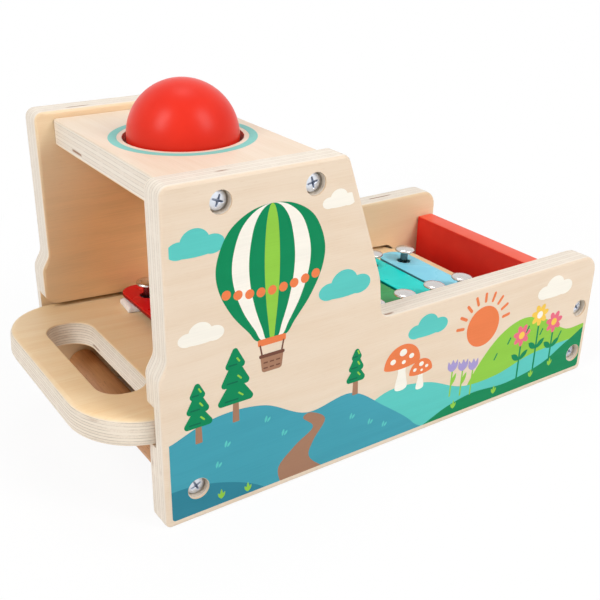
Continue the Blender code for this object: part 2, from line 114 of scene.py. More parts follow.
class CutMaterials(Enum):
    """What the faces that a cut leaves are dressed in."""

    PIECE = "INDEX"
    CUTTER = "TRANSFER"


def srgb(red: int, green: int, blue: int) -> Colour:
    """Return the linear colour of a display colour.

    Args:
        red: red from 0 to 255.
        green: green from 0 to 255.
        blue: blue from 0 to 255.

    Returns:
        The linear colour, each part from 0 to 1.
    """
    parts = []
    for value in (red, green, blue):
        share = value / 255
        parts.append(share / 12.92 if share <= 0.04045 else ((share + 0.055) / 1.055) ** 2.4)
    return parts[0], parts[1], parts[2]


def dim(colour: Colour, share: float) -> Colour:
    """Return a colour brought down to a share of its light."""
    return colour[0] * share, colour[1] * share, colour[2] * share


# Node trees

class Graph:
    """Wires up one node tree."""

    def __init__(self, tree: bpy.types.NodeTree) -> None:
        """Keep the tree."""
        self.tree = tree

    def add(self, kind: str, **settings: object) -> bpy.types.Node:
        """Add a node.

        Args:
            kind: the node's type.
            settings: properties to set on it.

        Returns:
            The new node.
        """
        node = self.tree.nodes.new(kind)
        for key, value in settings.items():
            setattr(node, key, value)
        return node

    def feed(self, socket: bpy.types.NodeSocket, value: object) -> None:
        """Link a socket to another one, or set its own value.

        Args:
            socket: the input to feed.
            value: an output to link to it, or a plain value.
        """
        if isinstance(value, bpy.types.NodeSocket):
            self.tree.links.new(value, socket)
        else:
            socket.default_value = value

    def math(self, operation: str, *values: object) -> bpy.types.NodeSocket:
        """Add a Math node.

        Args:
            operation: what it does.
            values: its values or the sockets that give them.

        Returns:
            The result.
        """
        node = self.add("ShaderNodeMath", operation=operation)
        for socket, value in zip(node.inputs, values):
            self.feed(socket, value)
        return node.outputs[0]

    def vector(self, operation: str, *values: object) -> bpy.types.NodeSocket:
        """Add a Vector Math node.

        Args:
            operation: what it does.
            values: its values or the sockets that give them.

        Returns:
            The result, a value for a product or distance and else a vector.
        """
        node = self.add("ShaderNodeVectorMath", operation=operation)
        for socket, value in zip(node.inputs, values):
            self.feed(socket, value)
        return node.outputs["Value" if operation in ("DOT_PRODUCT", "DISTANCE") else "Vector"]

    def noise(self, vector: bpy.types.NodeSocket, fineness: float | Point3, detail: float = 2.0,
              roughness: float = 0.5) -> bpy.types.NodeSocket:
        """Add noise.

        Args:
            vector: the place, in millimetres.
            fineness: how fine it is per millimetre, in all directions or along each axis.
            detail: how many finer layers are added.
            roughness: how strong those are.

        Returns:
            The noise, from 0 to 1.
        """
        stretch = (fineness,) * 3 if isinstance(fineness, float) else fineness
        node = self.add("ShaderNodeTexNoise")
        self.feed(node.inputs["Vector"], self.vector("MULTIPLY", vector, stretch))
        self.feed(node.inputs["Scale"], 1.0)
        self.feed(node.inputs["Detail"], detail)
        self.feed(node.inputs["Roughness"], roughness)
        return node.outputs[0]

    def ease(self, value: object, low: float, high: float, start: float = 0.0,
             end: float = 1.0) -> bpy.types.NodeSocket:
        """Ease a value.

        Args:
            value: a number or the socket that gives it.
            low: the value at which easing starts.
            high: the value at which it ends.
            start: the result up to low.
            end: the result from high on.

        Returns:
            The eased value.
        """
        node = self.add("ShaderNodeMapRange", interpolation_type="SMOOTHSTEP")
        for name, number in (("Value", value), ("From Min", low), ("From Max", high),
                             ("To Min", start), ("To Max", end)):
            self.feed(node.inputs[name], number)
        return node.outputs[0]

    def mix(self, share: object, first: object, second: object) -> bpy.types.NodeSocket:
        """Mix two colours.

        Args:
            share: how much of the second covers the first.
            first: the colour below, or the socket that gives it.
            second: the colour above, likewise.

        Returns:
            The mixed colour.
        """
        node = self.add("ShaderNodeMix", data_type="RGBA")
        factor, below, above = (node.inputs[index] for index in (0, 6, 7))
        self.feed(factor, share)
        for socket, colour in ((below, first), (above, second)):
            self.feed(socket, colour if isinstance(colour, bpy.types.NodeSocket) else (*colour, 1.0))
        return node.outputs[2]

    def bump(self, height: bpy.types.NodeSocket, strength: float, distance: float) -> bpy.types.NodeSocket:
        """Bump the surface.

        Args:
            height: how high each place stands.
            strength: how strongly it shows, from 0 to 1.
            distance: the height that 1 stands for.

        Returns:
            The bumped normal.
        """
        node = self.add("ShaderNodeBump")
        self.feed(node.inputs["Strength"], strength)
        self.feed(node.inputs["Distance"], distance)
        self.feed(node.inputs["Height"], height)
        return node.outputs["Normal"]

    def place(self, *axes: Vector) -> bpy.types.NodeSocket:
        """Find the place on the piece.

        Args:
            axes: the three axes that it is measured along.

        Returns:
            The place in millimetres.
        """
        where = self.add("ShaderNodeTexCoord").outputs["Object"]
        joined = self.add("ShaderNodeCombineXYZ")
        for socket, axis in zip(joined.inputs, axes):
            self.feed(socket, self.vector("DOT_PRODUCT", where, tuple(axis / MM)))
        return joined.outputs[0]

    def toward(self, axis: Vector) -> bpy.types.NodeSocket:
        """Return how far the surface looks along an axis, from -1 to 1."""
        normal = self.add("ShaderNodeTexCoord").outputs["Normal"]
        return self.vector("DOT_PRODUCT", normal, tuple(axis))

    def facing(self, axis: Vector) -> bpy.types.NodeSocket:
        """Return how squarely the surface faces an axis either way, from 0 to 1."""
        return self.math("ABSOLUTE", self.toward(axis))


class Effect:
    """A surface effect that several materials share, kept as one shader node group.

    Attributes:
        name: the group's name.
        inputs: the names and kinds of its inputs.
        outputs: those of its outputs.
    """

    name: str = ""
    inputs: dict[str, str] = {}
    outputs: dict[str, str] = {}

    @classmethod
    def wire(cls, graph: Graph, given: bpy.types.Node, made: bpy.types.Node) -> None:
        """Wire the group from its given inputs to what it makes.

        Args:
            graph: the group's tree.
            given: the node with the group's inputs.
            made: the node with its outputs.
        """
        raise NotImplementedError

    @classmethod
    def tree(cls) -> bpy.types.NodeTree:
        """Build the group at its first use.

        Returns:
            The group's tree.
        """
        found = bpy.data.node_groups.get(cls.name)
        if found:
            return found
        tree = bpy.data.node_groups.new(cls.name, "ShaderNodeTree")
        for name, kind in cls.inputs.items():
            tree.interface.new_socket(name, in_out="INPUT", socket_type=kind)
        for name, kind in cls.outputs.items():
            tree.interface.new_socket(name, in_out="OUTPUT", socket_type=kind)
        graph = Graph(tree)
        cls.wire(graph, graph.add("NodeGroupInput"), graph.add("NodeGroupOutput"))
        return tree

    @classmethod
    def use(cls, graph: Graph, **values: object) -> bpy.types.Node:
        """Place the effect in a material with its own values.

        Args:
            graph: the material's tree.
            values: the group's inputs, named in lower case.

        Returns:
            The group node.
        """
        node = graph.add("ShaderNodeGroup", node_tree=cls.tree())
        for name, value in values.items():
            graph.feed(node.inputs[name.capitalize()], value)
        return node


class Veneer(Effect):
    """Face grain of birch veneer: broad growth bands, fine fibres and short pores along X.

    Attributes:
        band_rate: how fast the bands follow each other, in radians per millimetre.
        band_wander: how far noise bends them, in radians.
        band_share: how much of the tone they give.
        fibre_share: how much of it the fibres give.
        cloud_share: how much of it slow clouds give.
    """

    name = "birch_veneer"
    inputs = {"Vector": "NodeSocketVector"}
    outputs = {"Tone": "NodeSocketFloat", "Pores": "NodeSocketFloat", "Height": "NodeSocketFloat"}
    band_rate: float = 0.55
    band_wander: float = 26.0
    band_share: float = 0.12
    fibre_share: float = 0.55
    cloud_share: float = 0.42

    @classmethod
    def wire(cls, graph: Graph, given: bpy.types.Node, made: bpy.types.Node) -> None:
        """Mix bands and fibres into one tone, and cut the pores out of the fibres.

        Args:
            graph: the group's tree.
            given: the node with the group's inputs.
            made: the node with its outputs.
        """
        vector = given.outputs["Vector"]
        warp = graph.noise(vector, (0.009, 0.035, 0.02), 2.0)
        across = graph.add("ShaderNodeSeparateXYZ")
        graph.feed(across.inputs[0], vector)
        wander = graph.math("MULTIPLY", warp, cls.band_wander)
        phase = graph.math("MULTIPLY_ADD", across.outputs["Y"], cls.band_rate, wander)
        bands = graph.math("MULTIPLY_ADD", graph.math("SINE", phase), 0.5, 0.5)
        fibres = graph.noise(vector, (0.05, 1.9, 0.7), 4.0, 0.62)
        clouds = graph.noise(vector, (0.02, 0.05, 0.03), 2.0)
        tone = graph.math("MULTIPLY", fibres, cls.fibre_share)
        tone = graph.math("MULTIPLY_ADD", bands, cls.band_share, tone)
        graph.feed(made.inputs["Tone"], graph.math("MULTIPLY_ADD", clouds, cls.cloud_share, tone))
        specks = graph.noise(vector, (0.22, 4.2, 1.5), 1.0)
        pores = graph.ease(specks, 0.66, 0.76)
        graph.feed(made.inputs["Pores"], pores)
        graph.feed(made.inputs["Height"], graph.math("SUBTRACT", fibres, pores))


class PlyStack(Effect):
    """Cut edge of plywood: plies of alternate grain, broken glue lines and a few open voids.

    Attributes:
        wave: how far the plies wander, in thicknesses of the sheet.
        ply_shift: how far the voids' pattern moves from ply to ply, in millimetres.
        void_sink: how deep a void is beside a glue line.
        fibre_rise: how high the fibres stand beside it.
    """

    name = "ply_stack"
    inputs = {"Vector": "NodeSocketVector", "Depth": "NodeSocketFloat", "Plies": "NodeSocketFloat"}
    outputs = {"Cross": "NodeSocketFloat", "Glue": "NodeSocketFloat", "Void": "NodeSocketFloat",
               "Height": "NodeSocketFloat"}
    wave: float = 0.035
    ply_shift: float = 43.0
    void_sink: float = 2.0
    fibre_rise: float = 0.5

    @classmethod
    def wire(cls, graph: Graph, given: bpy.types.Node, made: bpy.types.Node) -> None:
        """Count plies from the depth, then mark glue lines, end grain and voids.

        Args:
            graph: the group's tree.
            given: the node with the group's inputs.
            made: the node with its outputs.
        """
        vector = given.outputs["Vector"]
        wander = graph.noise(vector, 0.05, 1.0)
        depth = graph.math("MULTIPLY_ADD", wander, cls.wave, given.outputs["Depth"])
        stack = graph.math("MULTIPLY", depth, given.outputs["Plies"])
        ply = graph.math("FLOOR", stack)
        part = graph.math("FRACT", stack)
        cross = graph.math("FLOORED_MODULO", ply, 2.0)
        edge = graph.math("MINIMUM", part, graph.math("SUBTRACT", 1.0, part))
        breaks = graph.noise(vector, 0.16, 3.0, 0.6)
        line = graph.ease(edge, 0.02, 0.13, 1.0, 0.0)
        glue = graph.math("MULTIPLY", line, graph.ease(breaks, 0.26, 0.58))
        fibres = graph.noise(vector, 1.6, 3.0, 0.65)
        graph.feed(made.inputs["Cross"], graph.math("MULTIPLY", cross, graph.ease(fibres, 0.25, 0.75)))
        graph.feed(made.inputs["Glue"], glue)
        shift = graph.add("ShaderNodeCombineXYZ")
        graph.feed(shift.inputs["Z"], graph.math("MULTIPLY", ply, cls.ply_shift))
        gaps = graph.noise(graph.vector("ADD", vector, shift.outputs[0]), 0.055, 0.0)
        void = graph.math("MULTIPLY", graph.ease(gaps, 0.72, 0.78), graph.ease(edge, 0.12, 0.3))
        void = graph.math("MULTIPLY", void, cross)
        graph.feed(made.inputs["Void"], void)
        sunk = graph.math("MAXIMUM", glue, graph.math("MULTIPLY", void, cls.void_sink))
        raised = graph.math("MULTIPLY", fibres, cls.fibre_rise)
        graph.feed(made.inputs["Height"], graph.math("SUBTRACT", raised, sunk))


class PaintSkin(Effect):
    """Skin of a sprayed coat: fine peel, slow clouds and a mask for the arrises, where the film is thinner
    and a highlight is painted.
    """

    name = "paint_skin"
    inputs = {"Vector": "NodeSocketVector", "Fineness": "NodeSocketFloat", "Flat": "NodeSocketFloat"}
    outputs = {"Tone": "NodeSocketFloat", "Thin": "NodeSocketFloat", "Height": "NodeSocketFloat"}

    @classmethod
    def wire(cls, graph: Graph, given: bpy.types.Node, made: bpy.types.Node) -> None:
        """Make clouds and peel, and mark where the surface turns, for a thinner film and a painted highlight
        there.

        Args:
            graph: the group's tree.
            given: the node with the group's inputs.
            made: the node with its outputs.
        """
        vector = given.outputs["Vector"]
        scaled = graph.vector("MULTIPLY", vector, given.outputs["Fineness"])
        graph.feed(made.inputs["Tone"], graph.noise(vector, 0.06, 2.0))
        turn = graph.ease(given.outputs["Flat"], 0.75, 0.98, 1.0, 0.0)
        patchy = graph.noise(vector, 0.35, 2.0)
        graph.feed(made.inputs["Thin"], graph.math("MULTIPLY", turn, patchy))
        graph.feed(made.inputs["Height"], graph.noise(scaled, 0.9, 1.0))


class Burnish(Effect):
    """Handling marks on plated metal: smudged gloss and hairline scratches."""

    name = "burnish"
    inputs = {"Vector": "NodeSocketVector"}
    outputs = {"Smudge": "NodeSocketFloat", "Height": "NodeSocketFloat"}

    @classmethod
    def wire(cls, graph: Graph, given: bpy.types.Node, made: bpy.types.Node) -> None:
        """Make slow smudges and thin streaks.

        Args:
            graph: the group's tree.
            given: the node with the group's inputs.
            made: the node with its outputs.
        """
        vector = given.outputs["Vector"]
        graph.feed(made.inputs["Smudge"], graph.noise(vector, 0.45, 3.0))
        graph.feed(made.inputs["Height"], graph.noise(vector, (9.0, 0.8, 3.0), 2.0))


# Finishes

@dataclass(frozen=True)
class Finish:
    """A material with one Principled shader.

    Attributes:
        name: the material's name.
    """

    name: str

    def dress(self, graph: Graph, shader: bpy.types.Node) -> None:
        """Wire the finish into the shader.

        Args:
            graph: the material's tree.
            shader: its Principled shader.
        """
        raise NotImplementedError

    @staticmethod
    def connect(graph: Graph, shader: bpy.types.Node, colour: bpy.types.NodeSocket,
                roughness: bpy.types.NodeSocket, normal: bpy.types.NodeSocket) -> None:
        """Feed the shader what changes over the surface.

        Args:
            graph: the material's tree.
            shader: its Principled shader.
            colour: the surface's colour.
            roughness: its roughness.
            normal: its bumped normal.
        """
        for name, socket in (("Base Color", colour), ("Roughness", roughness), ("Normal", normal)):
            graph.feed(shader.inputs[name], socket)

    def material(self) -> bpy.types.Material:
        """Build the material at its first use.

        Returns:
            The material.
        """
        found = bpy.data.materials.get(self.name)
        if found:
            return found
        material = bpy.data.materials.new(self.name)
        material.use_nodes = True
        graph = Graph(material.node_tree)
        self.dress(graph, material.node_tree.nodes["Principled BSDF"])
        return material

    def apply(self, piece: bpy.types.Object) -> None:
        """Make this the piece's only material."""
        piece.data.materials.clear()
        piece.data.materials.append(self.material())


@dataclass(frozen=True)
class Plywood(Finish):
    """Lacquered birch plywood.

    Attributes:
        top: a point on the outer face, which depth is counted from.
        out: the way that face looks.
        along: the grain's direction on the faces.
        thickness: the sheet's thickness.
        plies: how many plies it has.
        face: pale and dark tones of the outer face.
        inner: those of the other face, warmer and darker as painted shade, since it looks into the body or
            down.
        pore: the pores' colour.
        edge: tones of the plies along and across the cut.
        glue: the glue lines' colour.
        lines: how strongly they show, from 0 to 1.
        void: the colour of open gaps in the plies.
        heart: the colour of a patch of painted shade on the other face, streaked like heartwood.
        core: the middle of that painted shade, or none.
        spread: how far it reaches from there.
        clear: the share of the spread that is fully shaded.
        waver: how far the grain pulls its edge about, in millimetres.
        streak: the share of light that its darker grain keeps.
        pore_share: how strongly the pores show.
    """

    top: Vector
    out: Vector
    along: Vector
    thickness: float
    plies: int = 7
    face: tuple[Colour, Colour] = (srgb(234, 214, 191), srgb(228, 204, 177))
    # The other face's tones are warmer and darker than the outer face's: painted shade for faces that look
    # into the body.
    inner: tuple[Colour, Colour] = (srgb(234, 192, 136), srgb(224, 178, 120))
    pore: Colour = srgb(202, 162, 122)
    edge: tuple[Colour, Colour] = (srgb(237, 226, 211), srgb(227, 213, 196))
    glue: Colour = srgb(150, 130, 109)
    lines: float = 0.4
    void: Colour = srgb(150, 106, 74)
    heart: Colour = srgb(242, 194, 137)
    core: Vector | None = None
    spread: float = 75.0 * MM
    clear: float = 0.35
    waver: float = 12.0
    streak: float = 0.84
    pore_share: float = 0.2

    def dress(self, graph: Graph, shader: bpy.types.Node) -> None:
        """Lay veneer on the faces and plies on the edges.

        Args:
            graph: the material's tree.
            shader: its Principled shader.
        """
        across = self.out.cross(self.along)
        place = graph.place(self.along, across, self.out)
        veneer = Veneer.use(graph, vector=place)
        tone = graph.ease(veneer.outputs["Tone"], 0.32, 0.82)
        # Painted shade: faces that look away from the outer face take the warmer, darker inner tones.
        outside = graph.ease(graph.toward(self.out), -0.1, 0.1)
        inner = graph.mix(tone, *self.inner)
        # Painted shade: a darker streaked patch round its middle, drawn like heartwood.
        if self.core is not None:
            spot = tuple(self.core.dot(axis) / MM for axis in (self.along, across, self.out))
            away = graph.vector("DISTANCE", place, spot)
            wavy = graph.math("MULTIPLY_ADD", veneer.outputs["Tone"], self.waver, away)
            core = graph.ease(wavy, self.clear * self.spread / MM, self.spread / MM, 1.0, 0.0)
            grain = graph.mix(tone, self.heart, dim(self.heart, self.streak))
            inner = graph.mix(core, inner, grain)
        skin = graph.mix(outside, inner, graph.mix(tone, *self.face))
        pores = graph.math("MULTIPLY", veneer.outputs["Pores"], self.pore_share)
        skin = graph.mix(pores, skin, self.pore)
        height = graph.add("ShaderNodeSeparateXYZ")
        graph.feed(height.inputs[0], place)
        level = self.top.dot(self.out) / MM
        depth = graph.math("DIVIDE", graph.math("SUBTRACT", level, height.outputs["Z"]), self.thickness / MM)
        stack = PlyStack.use(graph, vector=place, depth=depth, plies=float(self.plies))
        cut = graph.mix(stack.outputs["Cross"], *self.edge)
        cut = graph.mix(graph.math("MULTIPLY", stack.outputs["Glue"], self.lines), cut, self.glue)
        cut = graph.mix(stack.outputs["Void"], cut, self.void)
        inward = graph.math("MINIMUM", depth, graph.math("SUBTRACT", 1.0, depth))
        outermost = graph.ease(inward, 0.02, 0.09, 1.0, 0.0)
        face = graph.math("MAXIMUM", outermost, graph.ease(graph.facing(self.out), 0.985, 0.998))
        relief = graph.add("ShaderNodeMix", data_type="FLOAT")
        graph.feed(relief.inputs[0], face)
        graph.feed(relief.inputs[2], stack.outputs["Height"])
        graph.feed(relief.inputs[3], graph.math("MULTIPLY", veneer.outputs["Height"], 0.5))
        roughness = graph.ease(veneer.outputs["Tone"], 0.2, 0.9, 0.42, 0.56)
        normal = graph.bump(relief.outputs[0], 0.35, 0.1 * MM)
        self.connect(graph, shader, graph.mix(face, cut, skin), roughness, normal)
        shader.inputs["Coat Weight"].default_value = 0.12
        shader.inputs["Coat Roughness"].default_value = 0.3


@dataclass(frozen=True)
class SolidWood(Finish):
    """Lacquered solid wood.

    Attributes:
        along: the grain's direction.
        across: the direction in which its bands follow each other.
        tones: pale and dark tones.
        pore: the pores' colour.
        pore_share: how strongly they show.
    """

    along: Vector
    across: Vector
    tones: tuple[Colour, Colour] = (srgb(219, 163, 112), srgb(190, 133, 88))
    pore: Colour = srgb(128, 84, 52)
    pore_share: float = 0.6

    def dress(self, graph: Graph, shader: bpy.types.Node) -> None:
        """Run the veneer's grain right round the piece.

        Args:
            graph: the material's tree.
            shader: its Principled shader.
        """
        place = graph.place(self.along, self.across, self.along.cross(self.across))
        veneer = Veneer.use(graph, vector=place)
        skin = graph.mix(graph.ease(veneer.outputs["Tone"], 0.35, 0.75), *self.tones)
        pores = graph.math("MULTIPLY", veneer.outputs["Pores"], self.pore_share)
        roughness = graph.ease(veneer.outputs["Tone"], 0.2, 0.9, 0.45, 0.58)
        normal = graph.bump(veneer.outputs["Height"], 0.3, 0.1 * MM)
        self.connect(graph, shader, graph.mix(pores, skin, self.pore), roughness, normal)


@dataclass(frozen=True)
class Paint(Finish):
    """A sprayed coat of paint or enamel.

    Attributes:
        colour: the coat's own colour.
        deep: the colour in its slow darker clouds.
        roughness: lowest and highest roughness.
        fineness: peel waves per millimetre, about.
        peel: strength of the peel.
        gloss: how strongly it reflects, from 0 to 1.
        crest: how far the coat is painted paler on what looks up, as painted light on its top.
        missed: how far it darkens beside the flat face, as painted shade on its sides and in the gaps beside
            it.
        flat: the way of the piece's flat face, or none on a round piece.
        pale_gain: how much brighter the coat is where it is paler, on the arrises and as painted light on
            the top.
        pale_lift: the red, green and blue that are added there.
        pale_limit: the brightest that it gets there.
        thin_share: how far it pales where the surface turns, partly a thinner film and partly a painted
            highlight on the arrises.
        shadow: the share of light that it keeps in that painted shade.
    """

    colour: Colour
    deep: Colour
    roughness: tuple[float, float] = (0.3, 0.4)
    fineness: float = 1.0
    peel: float = 0.12
    gloss: float = 0.3
    crest: float = 0.0
    missed: float = 0.0
    flat: Vector | None = None
    pale_gain: float = 1.15
    pale_lift: Colour = (0.0, 0.115, 0.047)
    pale_limit: float = 0.9
    thin_share: float = 0.5
    shadow: float = 0.12

    def dress(self, graph: Graph, shader: bpy.types.Node) -> None:
        """Cloud the colour a little, pale it on the arrises, paint light on its top and shade on its sides,
        and ripple the gloss.

        Args:
            graph: the material's tree.
            shader: its Principled shader.
        """
        place = graph.place(X_AXIS, Y_AXIS, Z_AXIS)
        flat = 1.0
        if self.flat is not None:
            ways = [graph.facing(axis) for axis in (self.flat, Y_AXIS, self.flat.cross(Y_AXIS))]
            flat = graph.math("MAXIMUM", graph.math("MAXIMUM", ways[0], ways[1]), ways[2])
        skin = PaintSkin.use(graph, vector=place, fineness=self.fineness, flat=flat)
        colour = graph.mix(graph.ease(skin.outputs["Tone"], 0.35, 0.7, 0.0, 0.8), self.colour, self.deep)
        bright = zip(dim(self.colour, self.pale_gain), self.pale_lift)
        pale = tuple(min(self.pale_limit, part + lift) for part, lift in bright)
        # Where the surface turns the coat pales: partly a thinner film, partly a painted highlight on the
        # arrises.
        thin = graph.math("MULTIPLY", skin.outputs["Thin"], self.thin_share)
        colour = graph.mix(thin, colour, pale)
        # Painted light: faces that look up are mixed toward the pale colour, so the top looks lit.
        colour = graph.mix(graph.ease(graph.toward(Z_AXIS), 0.6, 0.97, 0.0, self.crest), colour, pale)
        if self.missed:
            # Painted shade: faces turned away from the flat face darken, so the sides and the gaps between
            # bars look shaded.
            side = graph.ease(graph.toward(self.flat), 0.1, 0.8, self.missed, 0.0)
            colour = graph.mix(side, colour, dim(self.colour, self.shadow))
        roughness = graph.ease(skin.outputs["Tone"], 0.3, 0.7, *self.roughness)
        normal = graph.bump(skin.outputs["Height"], self.peel, 0.2 * MM)
        self.connect(graph, shader, colour, roughness, normal)
        shader.inputs["Specular IOR Level"].default_value = self.gloss


@dataclass(frozen=True)
class Ink(Finish):
    """Printing ink that lets a little of the veneer's grain show.

    Attributes:
        colour: the ink's colour.
        depth: the share of light that it keeps on dark grain.
        gloss: how strongly it reflects, from 0 to 1.
    """

    colour: Colour
    depth: float = 0.82
    gloss: float = 0.12

    def dress(self, graph: Graph, shader: bpy.types.Node) -> None:
        """Darken the ink a little along the grain under it.

        Args:
            graph: the material's tree.
            shader: its Principled shader.
        """
        place = graph.place(X_AXIS, Z_AXIS, Y_AXIS)
        veneer = Veneer.use(graph, vector=place)
        grain = graph.ease(veneer.outputs["Tone"], 0.3, 0.85, 0.0, 0.45)
        colour = graph.mix(grain, self.colour, dim(self.colour, self.depth))
        roughness = graph.ease(veneer.outputs["Tone"], 0.2, 0.9, 0.4, 0.52)
        normal = graph.bump(veneer.outputs["Height"], 0.15, 0.1 * MM)
        self.connect(graph, shader, colour, roughness, normal)
        shader.inputs["Specular IOR Level"].default_value = self.gloss


@dataclass(frozen=True)
class Plating(Finish):
    """Bright plated metal with handling marks.

    Attributes:
        colour: the metal's colour.
        roughness: lowest and highest roughness.
        dull: the share of light that it keeps where it is smudged.
    """

    colour: Colour
    roughness: tuple[float, float]
    dull: float = 0.86

    def dress(self, graph: Graph, shader: bpy.types.Node) -> None:
        """Smudge the gloss and scratch it lightly.

        Args:
            graph: the material's tree.
            shader: its Principled shader.
        """
        place = graph.place(X_AXIS, Y_AXIS, Z_AXIS)
        marks = Burnish.use(graph, vector=place)
        colour = graph.mix(marks.outputs["Smudge"], self.colour, dim(self.colour, self.dull))
        roughness = graph.ease(marks.outputs["Smudge"], 0.3, 0.7, *self.roughness)
        normal = graph.bump(marks.outputs["Height"], 0.012, 0.1 * MM)
        self.connect(graph, shader, colour, roughness, normal)
        shader.inputs["Metallic"].default_value = 1.0


@dataclass(frozen=True)
class Felt(Finish):
    """Pressed white felt.

    Attributes:
        colour: the felt's colour.
        shade: the colour between its fibres.
    """

    colour: Colour = srgb(252, 250, 247)
    shade: Colour = srgb(232, 228, 223)

    def dress(self, graph: Graph, shader: bpy.types.Node) -> None:
        """Mat fine fibres over slow lumps.

        Args:
            graph: the material's tree.
            shader: its Principled shader.
        """
        place = graph.place(X_AXIS, Y_AXIS, Z_AXIS)
        fibres = graph.noise(place, (2.2, 3.1, 2.6), 5.0, 0.7)
        lumps = graph.noise(place, 0.5, 2.0)
        mat = graph.math("MULTIPLY_ADD", lumps, 0.4, graph.math("MULTIPLY", fibres, 0.6))
        colour = graph.mix(graph.ease(mat, 0.62, 0.36), self.colour, self.shade)
        roughness = graph.ease(mat, 0.3, 0.7, 0.9, 1.0)
        self.connect(graph, shader, colour, roughness, graph.bump(mat, 0.7, 0.4 * MM))
        shader.inputs["Sheen Weight"].default_value = 0.3


@dataclass(frozen=True)
class Silicone(Finish):
    """Moulded silicone rubber, matt from its mould.

    Attributes:
        colour: the rubber's colour, kept dark partly as painted shade in the gap round the ball.
        fineness: waves of its frosting per millimetre, about.
        clouded: the share of light that it keeps in its darker clouds.
    """

    # Dark grey rubber, partly its own colour and partly painted shade, so the gap round the ball looks dark.
    colour: Colour = srgb(62, 60, 58)
    fineness: float = 3.0
    clouded: float = 0.8

    def dress(self, graph: Graph, shader: bpy.types.Node) -> None:
        """Frost the surface and cloud it slightly.

        Args:
            graph: the material's tree.
            shader: its Principled shader.
        """
        place = graph.place(X_AXIS, Y_AXIS, Z_AXIS)
        skin = PaintSkin.use(graph, vector=place, fineness=self.fineness, flat=1.0)
        colour = graph.mix(skin.outputs["Tone"], self.colour, dim(self.colour, self.clouded))
        roughness = graph.ease(skin.outputs["Tone"], 0.3, 0.7, 0.55, 0.7)
        normal = graph.bump(skin.outputs["Height"], 0.2, 0.1 * MM)
        self.connect(graph, shader, colour, roughness, normal)


# Meshes

def extent(node: str, axis: Vector) -> tuple[float, float]:
    """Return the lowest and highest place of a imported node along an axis."""
    reach = [vertex.co.dot(axis) for vertex in bpy.data.objects[node].data.vertices]
    return min(reach), max(reach)


def middle(node: str) -> Vector:
    """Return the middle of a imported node's box."""
    low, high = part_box(node)
    return (low + high) / 2


def add_piece(name: str, builder: bmesh.types.BMesh, matrix: Matrix | None = None,
              sharp: float = math.radians(40)) -> bpy.types.Object:
    """Turn a bmesh into a piece whose place is in its mesh.

    Args:
        name: the piece's name.
        builder: the mesh, freed here.
        matrix: where the mesh goes, from its own space.
        sharp: the angle from which an edge is shaded sharp.

    Returns:
        The new object.
    """
    bmesh.ops.recalc_face_normals(builder, faces=builder.faces)
    mesh = bpy.data.meshes.new(name)
    builder.to_mesh(mesh)
    builder.free()
    mesh.transform(matrix or Matrix())
    mesh.shade_smooth()
    mesh.set_sharp_from_angle(angle=sharp)
    piece = bpy.data.objects.new(name, mesh)
    bpy.context.scene.collection.objects.link(piece)
    return piece


def prism(outline: Iterable[Point], low: float, high: float) -> bmesh.types.BMesh:
    """Raise a prism.

    Args:
        outline: its outline in XY.
        low: the height of its foot.
        high: the height of its top.

    Returns:
        The mesh.
    """
    builder = bmesh.new()
    face = builder.faces.new([builder.verts.new((x, y, low)) for x, y in outline])
    grown = bmesh.ops.extrude_face_region(builder, geom=[face])["geom"]
    top = [item for item in grown if isinstance(item, bmesh.types.BMVert)]
    bmesh.ops.translate(builder, verts=top, vec=(0, 0, high - low))
    return builder


def turned(profile: Sequence[Point], sides: int, closed: bool = False) -> bmesh.types.BMesh:
    """Turn a shape about Z.

    Args:
        profile: (radius, z) points that run up its outer side.
        sides: facets round it.
        closed: whether the last point joins the first, as in a ring.

    Returns:
        The mesh.
    """
    builder = bmesh.new()
    rings = []
    for radius, z in profile:
        count = sides if radius > 0 else 1
        turns = [2 * math.pi * side / sides for side in range(count)]
        rings.append([builder.verts.new((radius * math.cos(a), radius * math.sin(a), z)) for a in turns])
    pairs = list(zip(rings, rings[1:]))
    if closed:
        pairs.append((rings[-1], rings[0]))
    for lower, upper in pairs:
        for side in range(sides):
            corners = []
            for ring, offset in ((lower, 0), (lower, 1), (upper, 1), (upper, 0)):
                corner = ring[(side + offset) % len(ring)]
                if corner not in corners:
                    corners.append(corner)
            builder.faces.new(corners)
    return builder


def arc(centre: Point, radius: Point, start: float, end: float, steps: int) -> Outline:
    """Return points on an elliptical arc.

    Args:
        centre: the ellipse's middle.
        radius: its two half axes.
        start: first angle in degrees.
        end: last angle in degrees.
        steps: how many pieces the arc has.

    Returns:
        The points, both ends among them.
    """
    points = []
    for step in range(steps + 1):
        angle = math.radians(start + (end - start) * step / steps)
        points.append((centre[0] + radius[0] * math.cos(angle), centre[1] + radius[1] * math.sin(angle)))
    return points


def level(piece: bpy.types.Object) -> None:
    """Shade flat faces flat and let only the arrises between them turn."""
    modifier = piece.modifiers.new("level", "WEIGHTED_NORMAL")
    modifier.keep_sharp = True


def cut_out(piece: bpy.types.Object, cutter: bpy.types.Object, materials: CutMaterials) -> None:
    """Cut a shape out of a piece's own mesh.

    Args:
        piece: what is cut.
        cutter: the shape, which is removed afterwards.
        materials: what the cut faces are dressed in.
    """
    modifier = piece.modifiers.new("cut", "BOOLEAN")
    modifier.solver = "EXACT"
    modifier.material_mode = materials.value
    modifier.object = cutter
    graph = bpy.context.evaluated_depsgraph_get()
    cut = bpy.data.meshes.new_from_object(piece.evaluated_get(graph))
    piece.modifiers.clear()
    piece.data = cut
    bpy.data.objects.remove(cutter)


